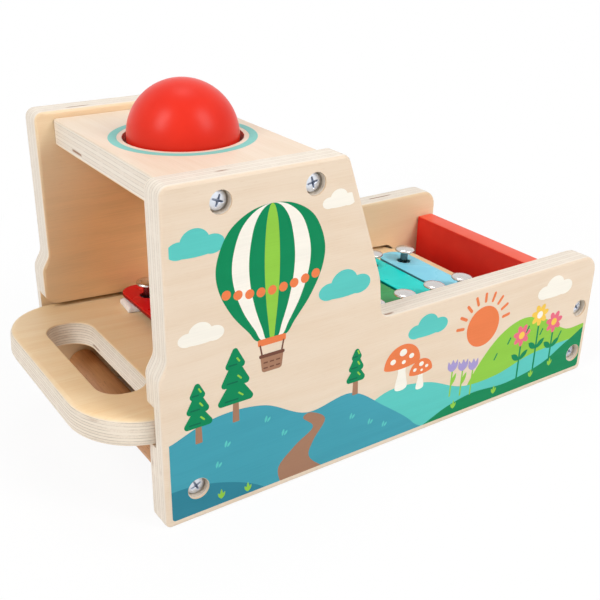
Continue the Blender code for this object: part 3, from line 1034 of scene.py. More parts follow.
def soften(node: bpy.types.Object, weld_gap: float = 0.002 * MM, angle: float = math.radians(38)) -> None:
    """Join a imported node's facets and shade its gentle edges smooth.

    Args:
        node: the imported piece.
        weld_gap: how close corners are that become one.
        angle: the bend from which an edge stays sharp.
    """
    name = "soft_facets"
    tree = bpy.data.node_groups.get(name)
    if tree is None:
        tree = bpy.data.node_groups.new(name, "GeometryNodeTree")
        tree.interface.new_socket("Geometry", in_out="INPUT", socket_type="NodeSocketGeometry")
        tree.interface.new_socket("Geometry", in_out="OUTPUT", socket_type="NodeSocketGeometry")
        graph = Graph(tree)
        given, made = graph.add("NodeGroupInput"), graph.add("NodeGroupOutput")
        weld = graph.add("GeometryNodeMergeByDistance")
        graph.feed(weld.inputs["Geometry"], given.outputs[0])
        graph.feed(weld.inputs["Distance"], weld_gap)
        round_faces = graph.add("GeometryNodeSetShadeSmooth", domain="FACE")
        graph.feed(round_faces.inputs["Geometry"], weld.outputs[0])
        round_edges = graph.add("GeometryNodeSetShadeSmooth", domain="EDGE")
        graph.feed(round_edges.inputs["Geometry"], round_faces.outputs[0])
        bend = graph.add("GeometryNodeInputMeshEdgeAngle").outputs["Unsigned Angle"]
        gentle = graph.add("FunctionNodeCompare", data_type="FLOAT", operation="LESS_THAN")
        graph.feed(gentle.inputs[0], bend)
        graph.feed(gentle.inputs[1], angle)
        graph.feed(round_edges.inputs["Shade Smooth"], gentle.outputs[0])
        graph.feed(made.inputs[0], round_edges.outputs[0])
    modifier = node.modifiers.new(name, "NODES")
    modifier.node_group = tree
    level(node)


def settle(piece: bpy.types.Object, body: Body, slot: str, *nodes: str) -> None:
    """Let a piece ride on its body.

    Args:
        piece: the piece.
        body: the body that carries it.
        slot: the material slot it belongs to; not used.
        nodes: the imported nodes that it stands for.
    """
    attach(piece, body.value)
    if nodes:
        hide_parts(*nodes)
    LOG.info("%s rides on %s", piece.name, body.value)


# The board's space

@dataclass(frozen=True)
class BoardSpace:
    """The sloping board's own space: X down the slope, Y across, Z out of its top face.

    Attributes:
        down: the way down the slope.
        out: the way that the top face looks.
        top: the top face's height along that way.
        bottom: the bottom face's height.
    """

    down: Vector
    out: Vector
    top: float
    bottom: float

    @classmethod
    def read(cls, frame: dict) -> BoardSpace:
        """Find the space from the slide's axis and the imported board.

        Args:
            frame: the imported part's frame.

        Returns:
            The board's space.
        """
        joint = next(item for item in frame["joints"] if item["name"] == SLIDE_JOINT)
        down = -Vector(joint["axis"]).normalized()
        out = down.cross(Y_AXIS)
        bottom, top = extent("xylophone_board", out)
        return cls(down, out, top, bottom)

    @property
    def matrix(self) -> Matrix:
        """Find the way from this space to the part's frame.

        Returns:
            The matrix of that way.
        """
        turn = Matrix((self.down, Y_AXIS, self.out)).transposed().to_4x4()
        turn.translation = self.out * self.top
        return turn

    def span(self, node: str) -> tuple[Vector, Vector]:
        """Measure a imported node.

        Args:
            node: the node's name.

        Returns:
            Its lowest and highest corner in this space.
        """
        ways = [extent(node, axis) for axis in (self.down, Y_AXIS, self.out)]
        low, high = (Vector([way[end] for way in ways]) for end in (0, 1))
        lift = Vector((0, 0, self.top))
        return low - lift, high - lift


# Sub-assemblies

@dataclass
class Carcass:
    """The wooden body: side panels, shelf, board, rail and end wall, kept as packed.

    Attributes:
        space: the board's own space.
        back_inner: tones of the back panel's inner face.
        back_heart: where the painted shade on its inner face is, inside the tower, along X and Z.
        shelf_face: tones of the shelf's top.
        board_face: tones of the board's top.
        board_edge: tones of its plies along and across the cut.
        board_plies: how many plies it has.
        board_lines: how strongly its glue lines show.
        wall: the end wall's paint.
    """

    space: BoardSpace
    back_inner: tuple[Colour, Colour] = (srgb(241, 215, 178), srgb(235, 206, 165))
    back_heart: Point = (-55.0 * MM, 70.0 * MM)
    shelf_face: tuple[Colour, Colour] = (srgb(237, 219, 198), srgb(231, 209, 184))
    board_face: tuple[Colour, Colour] = (srgb(245, 219, 177), srgb(237, 203, 153))
    board_edge: tuple[Colour, Colour] = (srgb(236, 223, 205), srgb(226, 210, 190))
    board_plies: int = 9
    board_lines: float = 0.74
    # The end wall's paint is painted lighter on its top, as painted light.
    wall: Paint = Paint(
        "end_wall_paint", srgb(238, 41, 28), srgb(228, 34, 23), roughness=(0.36, 0.46), fineness=1.4,
        peel=0.1, gloss=0.36, crest=0.62, flat=X_AXIS)

    def build(self) -> None:
        """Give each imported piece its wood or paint."""
        for side in Side:
            self.dress(f"{side.word}_panel", self.panel(side))
        low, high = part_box("top_shelf")
        shelf = Plywood("shelf_plywood", high, Z_AXIS, Y_AXIS, high.z - low.z, face=self.shelf_face)
        self.dress("top_shelf", shelf)
        space = self.space
        board = Plywood(
            "board_plywood", space.out * space.top, space.out, space.down, space.top - space.bottom,
            plies=self.board_plies, lines=self.board_lines, face=self.board_face, edge=self.board_edge)
        self.dress("xylophone_board", board)
        self.dress("cross_rail", SolidWood("rail_wood", Y_AXIS, X_AXIS))
        self.dress("end_wall", self.wall)

    def panel(self, side: Side) -> Plywood:
        """Choose a side panel's plywood; the back one is paler inside, with painted shade in the tower.

        Args:
            side: which panel.

        Returns:
            Its plywood.
        """
        node = f"{side.word}_panel"
        low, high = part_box(node)
        top = high if side is Side.BACK else low
        sheet = Plywood(f"{node}_plywood", top, Y_AXIS * side.value, X_AXIS, high.y - low.y)
        if side is Side.FRONT:
            return sheet
        # The back panel's inner face gets a patch of painted shade inside the tower, streaked like
        # heartwood.
        shade_x, shade_z = self.back_heart
        return replace(sheet, inner=self.back_inner, core=Vector((shade_x, low.y, shade_z)))

    @staticmethod
    def dress(node: str, finish: Finish) -> None:
        """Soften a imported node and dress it.

        Args:
            node: the node's name.
            finish: what it is dressed in.
        """
        piece = bpy.data.objects[node]
        soften(piece)
        finish.apply(piece)
        LOG.info("%s is dressed in %s", node, finish.name)


@dataclass
class PaintedRing:
    """The ring painted round the ball's hole on the shelf.

    Attributes:
        inner: its inner radius.
        outer: its outer radius.
        lift: how far its face stands off the shelf.
        foot: the share of that at which its underside is.
        sides: facets round it.
        ink: what it is painted with.
    """

    inner: float = 26.2 * MM
    outer: float = 29.6 * MM
    lift: float = 0.04 * MM
    foot: float = 0.2
    sides: int = 160
    ink: Ink = Ink("ring_ink", srgb(132, 206, 197))

    def build(self) -> None:
        """Lay the ring on the shelf's top, round the ball's axis."""
        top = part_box("top_shelf")[1].z
        centre = middle("ball")
        low, high = top + self.foot * self.lift, top + self.lift
        profile = [(self.outer, low), (self.outer, high), (self.inner, high), (self.inner, low)]
        place = Matrix.Translation((centre.x, centre.y, 0))
        ring = add_piece("hole_ring_paint", turned(profile, self.sides, closed=True), place)
        self.ink.apply(ring)
        settle(ring, Body.FRAME, "birch")


@dataclass
class Ball:
    """The turned wooden ball and the soft ring that holds it.

    Attributes:
        sides: facets round both.
        rings: facets from the ball's foot to its top.
        ring_gap: the gap between the ball and the ring's lip.
        ring_edge: the radius of the ring's outer edges.
        edge_steps: facets round such an edge.
        lip_steps: facets down the lip.
        coat: the ball's paint.
    """

    sides: int = 96
    rings: int = 64
    ring_gap: float = 0.3 * MM
    ring_edge: float = 0.5 * MM
    edge_steps: int = 4
    lip_steps: int = 10
    coat: Paint = Paint(
        "ball_paint_coat", srgb(229, 49, 31), srgb(222, 43, 27), roughness=(0.3, 0.36), fineness=0.9,
        peel=0.05, gloss=0.17)

    def build(self) -> None:
        """Make the ball and its grip ring in place of their plain solids."""
        low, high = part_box("ball")
        radius = (high.z - low.z) / 2
        place = Matrix.Translation(middle("ball"))
        profile = arc((0, 0), (radius, radius), -90, 90, self.rings)
        profile[0], profile[-1] = (0, -radius), (0, radius)
        ball = add_piece("painted_ball", turned(profile, self.sides), place)
        self.coat.apply(ball)
        settle(ball, Body.BALL, "ball_paint", "ball")
        self.build_ring(radius)

    def build_ring(self, ball_radius: float) -> None:
        """Make the ring with a rounded rim and a lip that follows the ball.

        Args:
            ball_radius: the ball's radius.
        """
        low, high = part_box("grip_ring")
        centre = middle("ball")
        outer = (high.x - low.x) / 2
        edge = self.ring_edge
        seat = ball_radius + self.ring_gap
        profile = arc((outer - edge, low.z + edge), (edge, edge), -90, 0, self.edge_steps)
        profile += arc((outer - edge, high.z - edge), (edge, edge), 0, 90, self.edge_steps)
        for step in range(self.lip_steps + 1):
            z = high.z - (high.z - low.z) * step / self.lip_steps
            profile.append((math.sqrt(seat ** 2 - (centre.z - z) ** 2), z))
        ring = add_piece("moulded_grip_ring", turned(profile, self.sides, closed=True),
                         Matrix.Translation((centre.x, centre.y, 0)))
        Silicone("ring_silicone").apply(ring)
        settle(ring, Body.FRAME, "silicone", "grip_ring")


@dataclass
class Screws:
    """Zinc-plated pan-head screws in their counterbores.

    Attributes:
        sides: facets round a screw.
        shank_radius: the radius over the thread.
        head_height: how high the head is.
        rim_height: how high its straight side is.
        rim_edge: the radius of its lower edge.
        rim_steps: facets round that edge.
        dome_steps: facets from its side to its top.
        point: how long the screw's point is.
        thread_pitch: from ridge to ridge of the thread.
        thread_depth: how deep the thread is.
        drive_span: from end to end of the cross recess.
        drive_width: how wide its arms are.
        drive_depth: how deep it is.
        drive_core: how far its inner corners stand out, in half widths of an arm.
        drive_taper: the share of its width that is left at its foot.
        drive_spare: how far its cutter stands out of the head.
        turns: the angles that the screws were left at, in degrees.
        zinc: the plating.
        recess: a darker plating in the cross recess, painted shade inside it.
    """

    sides: int = 40
    shank_radius: float = 2.0 * MM
    head_height: float = 3.0 * MM
    rim_height: float = 2.2 * MM
    rim_edge: float = 0.3 * MM
    rim_steps: int = 3
    dome_steps: int = 10
    point: float = 4.0 * MM
    thread_pitch: float = 1.6 * MM
    thread_depth: float = 0.35 * MM
    drive_span: float = 5.0 * MM
    drive_width: float = 0.7 * MM
    drive_depth: float = 1.5 * MM
    drive_core: float = 1.5
    drive_taper: float = 0.8
    drive_spare: float = 1.0 * MM
    turns: tuple[float, ...] = (24, 68, 12, 51, 37)
    zinc: Plating = Plating("screw_zinc", srgb(230, 236, 245), (0.4, 0.52))
    # The recess plating is darker than the zinc: painted shade in the cross recess.
    recess: Plating = Plating("screw_recess", srgb(168, 178, 196), (0.5, 0.6))

    def build(self) -> None:
        """Make each screw, turned as it was driven."""
        names = sorted(name for name in bpy.data.objects.keys() if name.startswith("screw_"))
        for index, node in enumerate(names):
            side = Side.FRONT if "_front_" in node else Side.BACK
            screw = self.make(node, side, self.turns[index % len(self.turns)])
            settle(screw, Body.FRAME, "screw_steel", node)

    def make(self, node: str, side: Side, turn: float) -> bpy.types.Object:
        """Make one screw at its packed place.

        Args:
            node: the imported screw.
            side: the panel that it is in.
            turn: the angle its drive was left at, in degrees.

        Returns:
            The screw.
        """
        low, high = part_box(node)
        radius = (high.x - low.x) / 2
        length = high.y - low.y - self.head_height
        centre = (low + high) / 2
        head = low.y if side is Side.FRONT else high.y
        seat = head - side.value * self.head_height
        place = Matrix.Translation((centre.x, seat, centre.z))
        place @= Matrix.Rotation(-side.value * math.pi / 2, 4, "X")
        place @= Matrix.Rotation(math.radians(turn), 4, "Z")
        builder = turned(self.profile(radius, length), self.sides)
        piece = add_piece(f"zinc_{node}", builder, place)
        self.zinc.apply(piece)
        self.carve(piece, place)
        return piece

    def profile(self, radius: float, length: float) -> list[Point]:
        """Draw the screw's profile: point, ridged shank, flat seat and domed head.

        Args:
            radius: the head's radius.
            length: from the head's seat to the point.

        Returns:
            Points (radius, height) from the point to the top of the head.
        """
        points = [(0.0, -length)]
        ridges = int((length - self.point) / self.thread_pitch)
        start = -length + self.point
        root = self.shank_radius - self.thread_depth
        for ridge in range(ridges):
            z = start + ridge * self.thread_pitch
            points.append((root, z))
            points.append((self.shank_radius, z + self.thread_pitch / 2))
        points.append((root, 0.0))
        edge = self.rim_edge
        rim = arc((radius - edge, edge), (edge, edge), -90, 0, self.rim_steps)
        rise = self.head_height - self.rim_height
        dome = arc((0, self.rim_height), (radius, rise), 0, 90, self.dome_steps)
        return points + rim + dome[1:-1] + [(0.0, self.head_height)]

    def carve(self, piece: bpy.types.Object, place: Matrix) -> None:
        """Cut the cross recess into a screw's head.

        Args:
            piece: the screw.
            place: the way from the screw's own space to the part's frame.
        """
        span, width = self.drive_span / 2, self.drive_width / 2
        core = width * self.drive_core
        cross = []
        for quarter in range(4):
            turn = Matrix.Rotation(quarter * math.pi / 2, 2)
            for corner in ((span, -width), (span, width), (core, core)):
                point = turn @ Vector(corner)
                cross.append((point.x, point.y))
        top = self.head_height + self.drive_spare
        builder = prism(cross, self.head_height - self.drive_depth, top)
        for vertex in builder.verts:
            if vertex.co.z < self.head_height:
                vertex.co.xy *= self.drive_taper
        cutter = add_piece(f"{piece.name}_drive", builder, place)
        # The cut faces of the recess take the darker plating, painted shade.
        self.recess.apply(cutter)
        cut_out(piece, cutter, CutMaterials.CUTTER)


@dataclass
class Bars:
    """The enamelled bars, with crisp arrises and loose pin holes.

    Attributes:
        space: the board's own space.
        crown: how far the elliptical ends stand out.
        hole_radius: the pin holes' radius.
        hole_spare: how far a hole's cutter stands out of the bar.
        arris: the width of the rounded arrises.
        arris_steps: facets across an arris.
        arris_bend: the bend from which an edge is rounded.
        trim: how much narrower than its solid a bar is on each side, so that the gaps show.
        end_steps: facets round an end.
        hole_steps: facets round a hole.
        hues: each bar's colour and the deeper colour in its clouds, from the handle on.
    """

    space: BoardSpace
    crown: float = 8.0 * MM
    hole_radius: float = 3.5 * MM
    hole_spare: float = 1.0 * MM
    arris: float = 0.55 * MM
    arris_steps: int = 4
    arris_bend: float = math.radians(50)
    trim: float = 0.3 * MM
    end_steps: int = 36
    hole_steps: int = 32
    hues: dict[str, tuple[Colour, Colour]] = field(default_factory=lambda: {
        "red": (srgb(222, 22, 26), srgb(208, 18, 22)),
        "orange": (srgb(240, 122, 34), srgb(228, 108, 26)),
        "amber": (srgb(246, 172, 46), srgb(238, 158, 34)),
        "yellow": (srgb(250, 214, 62), srgb(242, 202, 46)),
        "lime": (srgb(150, 204, 70), srgb(136, 192, 58)),
        "green": (srgb(54, 162, 88), srgb(46, 150, 80)),
        "turquoise": (srgb(8, 228, 219), srgb(6, 217, 208)),
        "light_blue": (srgb(144, 226, 248), srgb(132, 216, 241)),
    })

    def build(self) -> None:
        """Make each bar in place of its packed one."""
        for index, (hue, colours) in enumerate(self.hues.items()):
            node = f"bar_{index + 1}_{hue}"
            bar = self.make(node, index + 1)
            # Each bar's coat darkens its sides, painted shade in the gaps between the bars.
            coat = Paint(
                f"enamel_coat_{hue}", *colours, roughness=(0.24, 0.34), fineness=2.2, peel=0.06,
                gloss=0.09, missed=0.68, flat=self.space.out)
            coat.apply(bar)
            settle(bar, Body.XYLOPHONE, f"enamel_{hue}", node)

    def make(self, node: str, number: int) -> bpy.types.Object:
        """Make one bar: elliptical ends, two holes where its pins stand, rounded arrises.

        Args:
            node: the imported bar.
            number: its number, which its pins have too.

        Returns:
            The bar.
        """
        low, high = self.space.span(node)
        width, length = high.x - low.x - 2 * self.trim, high.y - low.y
        outline = arc((0, length / 2 - self.crown), (width / 2, self.crown), 0, 180, self.end_steps)
        outline += arc((0, self.crown - length / 2), (width / 2, self.crown), 180, 360, self.end_steps)
        middle_x = (low.x + high.x) / 2
        place = self.space.matrix @ Matrix.Translation((middle_x, 0, 0))
        bar = add_piece(f"enamelled_{node}", prism(outline, low.z, high.z), place)
        for side in Side:
            pin_low, pin_high = self.space.span(f"pin_{side.word}_{number}")
            y = (pin_low.y + pin_high.y) / 2
            circle = arc((0, y), (self.hole_radius, self.hole_radius), 0, 360, self.hole_steps)[:-1]
            drill = prism(circle, low.z - self.hole_spare, high.z + self.hole_spare)
            cut_out(bar, add_piece("hole_cutter", drill, place), CutMaterials.PIECE)
        bevel = bar.modifiers.new("arris", "BEVEL")
        bevel.width = self.arris
        bevel.segments = self.arris_steps
        bevel.limit_method = "ANGLE"
        bevel.angle_limit = self.arris_bend
        level(bar)
        return bar


@dataclass
class Pins:
    """The plated mushroom pins that keep the bars on the board.

    Attributes:
        space: the board's own space.
        sides: facets round a pin.
        shank_radius: the shank's radius.
        fillet: how far the shank widens under the head.
        fillet_height: how far below the head that starts.
        rim: the height of the head's rolled rim.
        rim_steps: facets round the rim.
        crown: the dome's height over the rim.
        dome_inset: how far inside the rim the dome starts.
        dome_steps: facets from the rim to the top.
        count: pins in a row.
        head: the head's plating.
        shank: the shank's plating, darker than the head's as painted shade under the head.
    """

    space: BoardSpace
    sides: int = 40
    shank_radius: float = 2.0 * MM
    fillet: float = 0.15 * MM
    fillet_height: float = 0.4 * MM
    rim: float = 0.6 * MM
    rim_steps: int = 5
    crown: float = 1.5 * MM
    dome_inset: float = 0.05 * MM
    dome_steps: int = 12
    count: int = 8
    head: Plating = Plating("pin_plating", srgb(216, 211, 208), (0.18, 0.28))
    # The shank's plating is darker than the head's: painted shade under the head.
    shank: Plating = Plating("pin_shank", srgb(128, 127, 126), (0.2, 0.3))

    def build(self) -> None:
        """Make both rows of pins."""
        for side in Side:
            for number in range(1, self.count + 1):
                node = f"pin_{side.word}_{number}"
                low, high = self.space.span(node)
                centre = (low + high) / 2
                place = self.space.matrix @ Matrix.Translation((centre.x, centre.y, 0))
                builder = turned(self.profile(low, high), self.sides)
                neck = self.neck(high)
                # Faces below the head's underside take the darker plating, painted shade under the head.
                for face in builder.faces:
                    face.material_index = int(face.calc_center_median().z < neck)
                pin = add_piece(f"plated_{node}", builder, place)
                for finish in (self.head, self.shank):
                    pin.data.materials.append(finish.material())
                settle(pin, Body.XYLOPHONE, "pin_chrome", node)

    def neck(self, high: Vector) -> float:
        """Return the height of the head's underside."""
        return high.z - self.crown - self.rim

    def profile(self, low: Vector, high: Vector) -> list[Point]:
        """Draw the pin's profile.

        Args:
            low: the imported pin's lowest corner in the board's space.
            high: its highest corner.

        Returns:
            Points (radius, height) from the foot to the top of the domed head.
        """
        radius = (high.x - low.x) / 2
        neck = self.neck(high)
        lip = self.rim / 2
        shank = self.shank_radius
        points = [(0.0, low.z), (shank, low.z), (shank, neck - self.fillet_height)]
        points += [(shank + self.fillet, neck), (radius - lip, neck)]
        points += arc((radius - lip, neck + lip), (lip, lip), -60, 30, self.rim_steps)
        spread = (radius - self.dome_inset, self.crown)
        dome = arc((0, neck + self.rim), spread, 8, 90, self.dome_steps)
        return points + dome[:-1] + [(0.0, high.z)]


@dataclass
class FeltStrips:
    """The felt that the bars lie on.

    Attributes:
        space: the board's own space.
        cell: the size of the grid's cells.
        nap: how uneven the top is.
        edge: how far the rim drops.
        count: pins in the row that a strip follows.
        seed: where the unevenness starts.
    """

    space: BoardSpace
    cell: float = 0.9 * MM
    nap: float = 0.16 * MM
    edge: float = 0.7 * MM
    count: int = 8
    seed: int = 5

    def build(self) -> None:
        """Make a matted strip along each row of pins."""
        for side in Side:
            node = f"felt_{side.word}"
            strip, cut = self.make(node, side)
            Felt("pressed_felt").apply(strip)
            settle(strip, Body.XYLOPHONE, "felt", node)

    def make(self, node: str, side: Side) -> tuple[bpy.types.Object, Point]:
        """Make one strip, a fine grid with an uneven top and a dropped rim.

        Args:
            node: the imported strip.
            side: the row of pins that it follows.

        Returns:
            The strip, and the width and length that it is cut to.
        """
        ends = []
        for number in (1, self.count):
            low, high = self.space.span(f"pin_{side.word}_{number}")
            ends.append(((low + high) / 2).xy)
        along = (ends[1] - ends[0]).normalized()
        across = Vector((-along.y, along.x))
        vertices = [self.space.matrix.inverted() @ v.co for v in bpy.data.objects[node].data.vertices]
        run = [v.xy.dot(along) for v in vertices]
        reach = [v.xy.dot(across) for v in vertices]
        low, high = self.space.span(node)
        rng = random.Random(self.seed + side.value)
        length, width = max(run) - min(run), max(reach) - min(reach)
        columns = round(length / self.cell)
        rows = round(width / self.cell)
        builder = bmesh.new()
        bmesh.ops.create_grid(builder, x_segments=columns, y_segments=rows, size=0.5)
        for vertex in builder.verts:
            share = vertex.co.copy()
            rim = min(0.5 - abs(share.x), 0.5 - abs(share.y))
            spot = along * (min(run) + (share.x + 0.5) * length)
            spot += across * (min(reach) + (share.y + 0.5) * width)
            drop = self.edge if rim < TINY else 0.0
            nap = rng.uniform(-self.nap, 0)
            vertex.co = (spot.x, spot.y, high.z - drop + nap)
        rim_edges = [edge for edge in builder.edges if edge.is_boundary]
        skirt = bmesh.ops.extrude_edge_only(builder, edges=rim_edges)["geom"]
        for item in skirt:
            if isinstance(item, bmesh.types.BMVert):
                item.co.z = low.z
        floor = [edge for edge in builder.edges if edge.is_boundary]
        bmesh.ops.contextual_create(builder, geom=floor)
        piece = add_piece(f"pressed_{node}", builder, self.space.matrix, math.radians(80))
        return piece, (width, length)


# The print

def rounded(corners: Sequence[Point3], bend: float = math.radians(10)) -> Outline:
    """Draw a closed outline with rounded corners.

    Args:
        corners: (x, y, radius) of each corner, counter-clockwise.
        bend: how far the outline turns at most from point to point.

    Returns:
        Points along the outline.
    """
    points: Outline = []
    for index, (x, y, radius) in enumerate(corners):
        corner = Vector((x, y))
        back = (Vector(corners[index - 1][:2]) - corner).normalized()
        ahead = (Vector(corners[(index + 1) % len(corners)][:2]) - corner).normalized()
        half = back.angle(ahead) / 2
        reach = radius / math.tan(half)
        centre = corner + (back + ahead).normalized() * radius / math.sin(half)
        start, end = corner + back * reach - centre, corner + ahead * reach - centre
        sweep = math.atan2(start.cross(end), start.dot(end))
        steps = 1 + int(abs(sweep) / bend)
        for step in range(steps + 1):
            spot = centre + Matrix.Rotation(sweep * step / steps, 2) @ start
            points.append((spot.x, spot.y))
    return points


def smooth(points: Sequence[Point], steps: int = 8) -> Outline:
    """Draw a smooth closed curve through points.

    Args:
        points: what it passes through.
        steps: pieces between two points.

    Returns:
        Points along the curve.
    """
    count = len(points)
    curve: Outline = []
    for index in range(count):
        p0, p1, p2, p3 = (Vector(points[(index + offset) % count]) for offset in (-1, 0, 1, 2))
        for step in range(steps):
            t = step / steps
            spot = (2 * p1 + (p2 - p0) * t + (2 * p0 - 5 * p1 + 4 * p2 - p3) * t ** 2
                    + (3 * p1 - p0 - 3 * p2 + p3) * t ** 3) / 2
            curve.append((spot.x, spot.y))
    return curve


def moved(shape: Outline, x: float, y: float, turn: float) -> Outline:
    """Turn a shape about its origin and move it.

    Args:
        shape: its outline.
        x: where its origin goes along X.
        y: where its origin goes along Y.
        turn: its turn in degrees.

    Returns:
        The outline at its new place.
    """
    spin = math.radians(turn)
    cos, sin = math.cos(spin), math.sin(spin)
    return [(x + u * cos - v * sin, y + u * sin + v * cos) for u, v in shape]


def oval(x: float, y: float, wide: float, high: float, turn: float = 0.0, steps: int = 28) -> Outline:
    """Return an oval from its middle, half width, half height and turn in degrees."""
    return moved(arc((0, 0), (wide, high), 0, 360, steps)[:-1], x, y, turn)


def leaf(x: float, y: float, length: float, width: float, turn: float, steps: int = 6,
         slimness: float = 0.8) -> Outline:
    """Draw a pointed leaf.

    Args:
        x: where it grows from, along X.
        y: where it grows from, along Y.
        length: its length.
        width: its width.
        turn: the angle that it grows at, in degrees.
        steps: pieces along each side.
        slimness: how slender its ends are.

    Returns:
        Points along its outline.
    """
    upper = []
    for step in range(steps + 1):
        share = step / steps
        upper.append((length * share, width / 2 * math.sin(math.pi * share) ** slimness))
    lower = [(u, -v) for u, v in reversed(upper[1:-1])]
    return moved(upper + lower, x, y, turn)


def stroke(points: Sequence[Point], width: float, cap_steps: int = 6) -> Outline:
    """Draw a line of even width with round ends.

    Args:
        points: what it passes through.
        width: its width.
        cap_steps: pieces round each end.

    Returns:
        Points along its outline.
    """
    line = [Vector(point) for point in points]
    left: Outline = []
    right: Outline = []
    for index, spot in enumerate(line):
        back = line[max(index - 1, 0)]
        ahead = line[min(index + 1, len(line) - 1)]
        way = (ahead - back).normalized()
        side = Vector((-way.y, way.x)) * width / 2
        left.append(tuple(spot + side))
        right.append(tuple(spot - side))
    shape = list(right)
    for tip, inward in ((line[-1], line[-2]), (line[0], line[1])):
        way = (tip - inward).normalized()
        angle = math.degrees(math.atan2(way.y, way.x))
        cap = arc(tuple(tip), (width / 2, width / 2), angle - 90, angle + 90, cap_steps)
        shape += cap[1:-1]
        if tip == line[-1]:
            shape += list(reversed(left))
    return shape


def counter_clockwise(outline: Outline) -> Outline:
    """Return an outline that runs counter-clockwise."""
    area = sum(a[0] * b[1] - b[0] * a[1] for a, b in zip(outline, outline[1:] + outline[:1]))
    return outline if area > 0 else outline[::-1]


class Hue(Enum):
    """Inks of the print."""

    PINE = srgb(0, 136, 86)
    LIME = srgb(146, 204, 70)
    TEAL = srgb(68, 160, 178)
    AQUA = srgb(94, 202, 194)
    BROWN = srgb(168, 124, 98)
    BARK = srgb(116, 74, 60)
    ORANGE = srgb(238, 128, 76)
    YELLOW = srgb(250, 204, 84)
    PINK = srgb(236, 112, 134)
    LILAC = srgb(170, 156, 210)
    CREAM = srgb(250, 244, 232)
    DEEP = srgb(0, 108, 76)
    SEA = srgb(48, 132, 152)


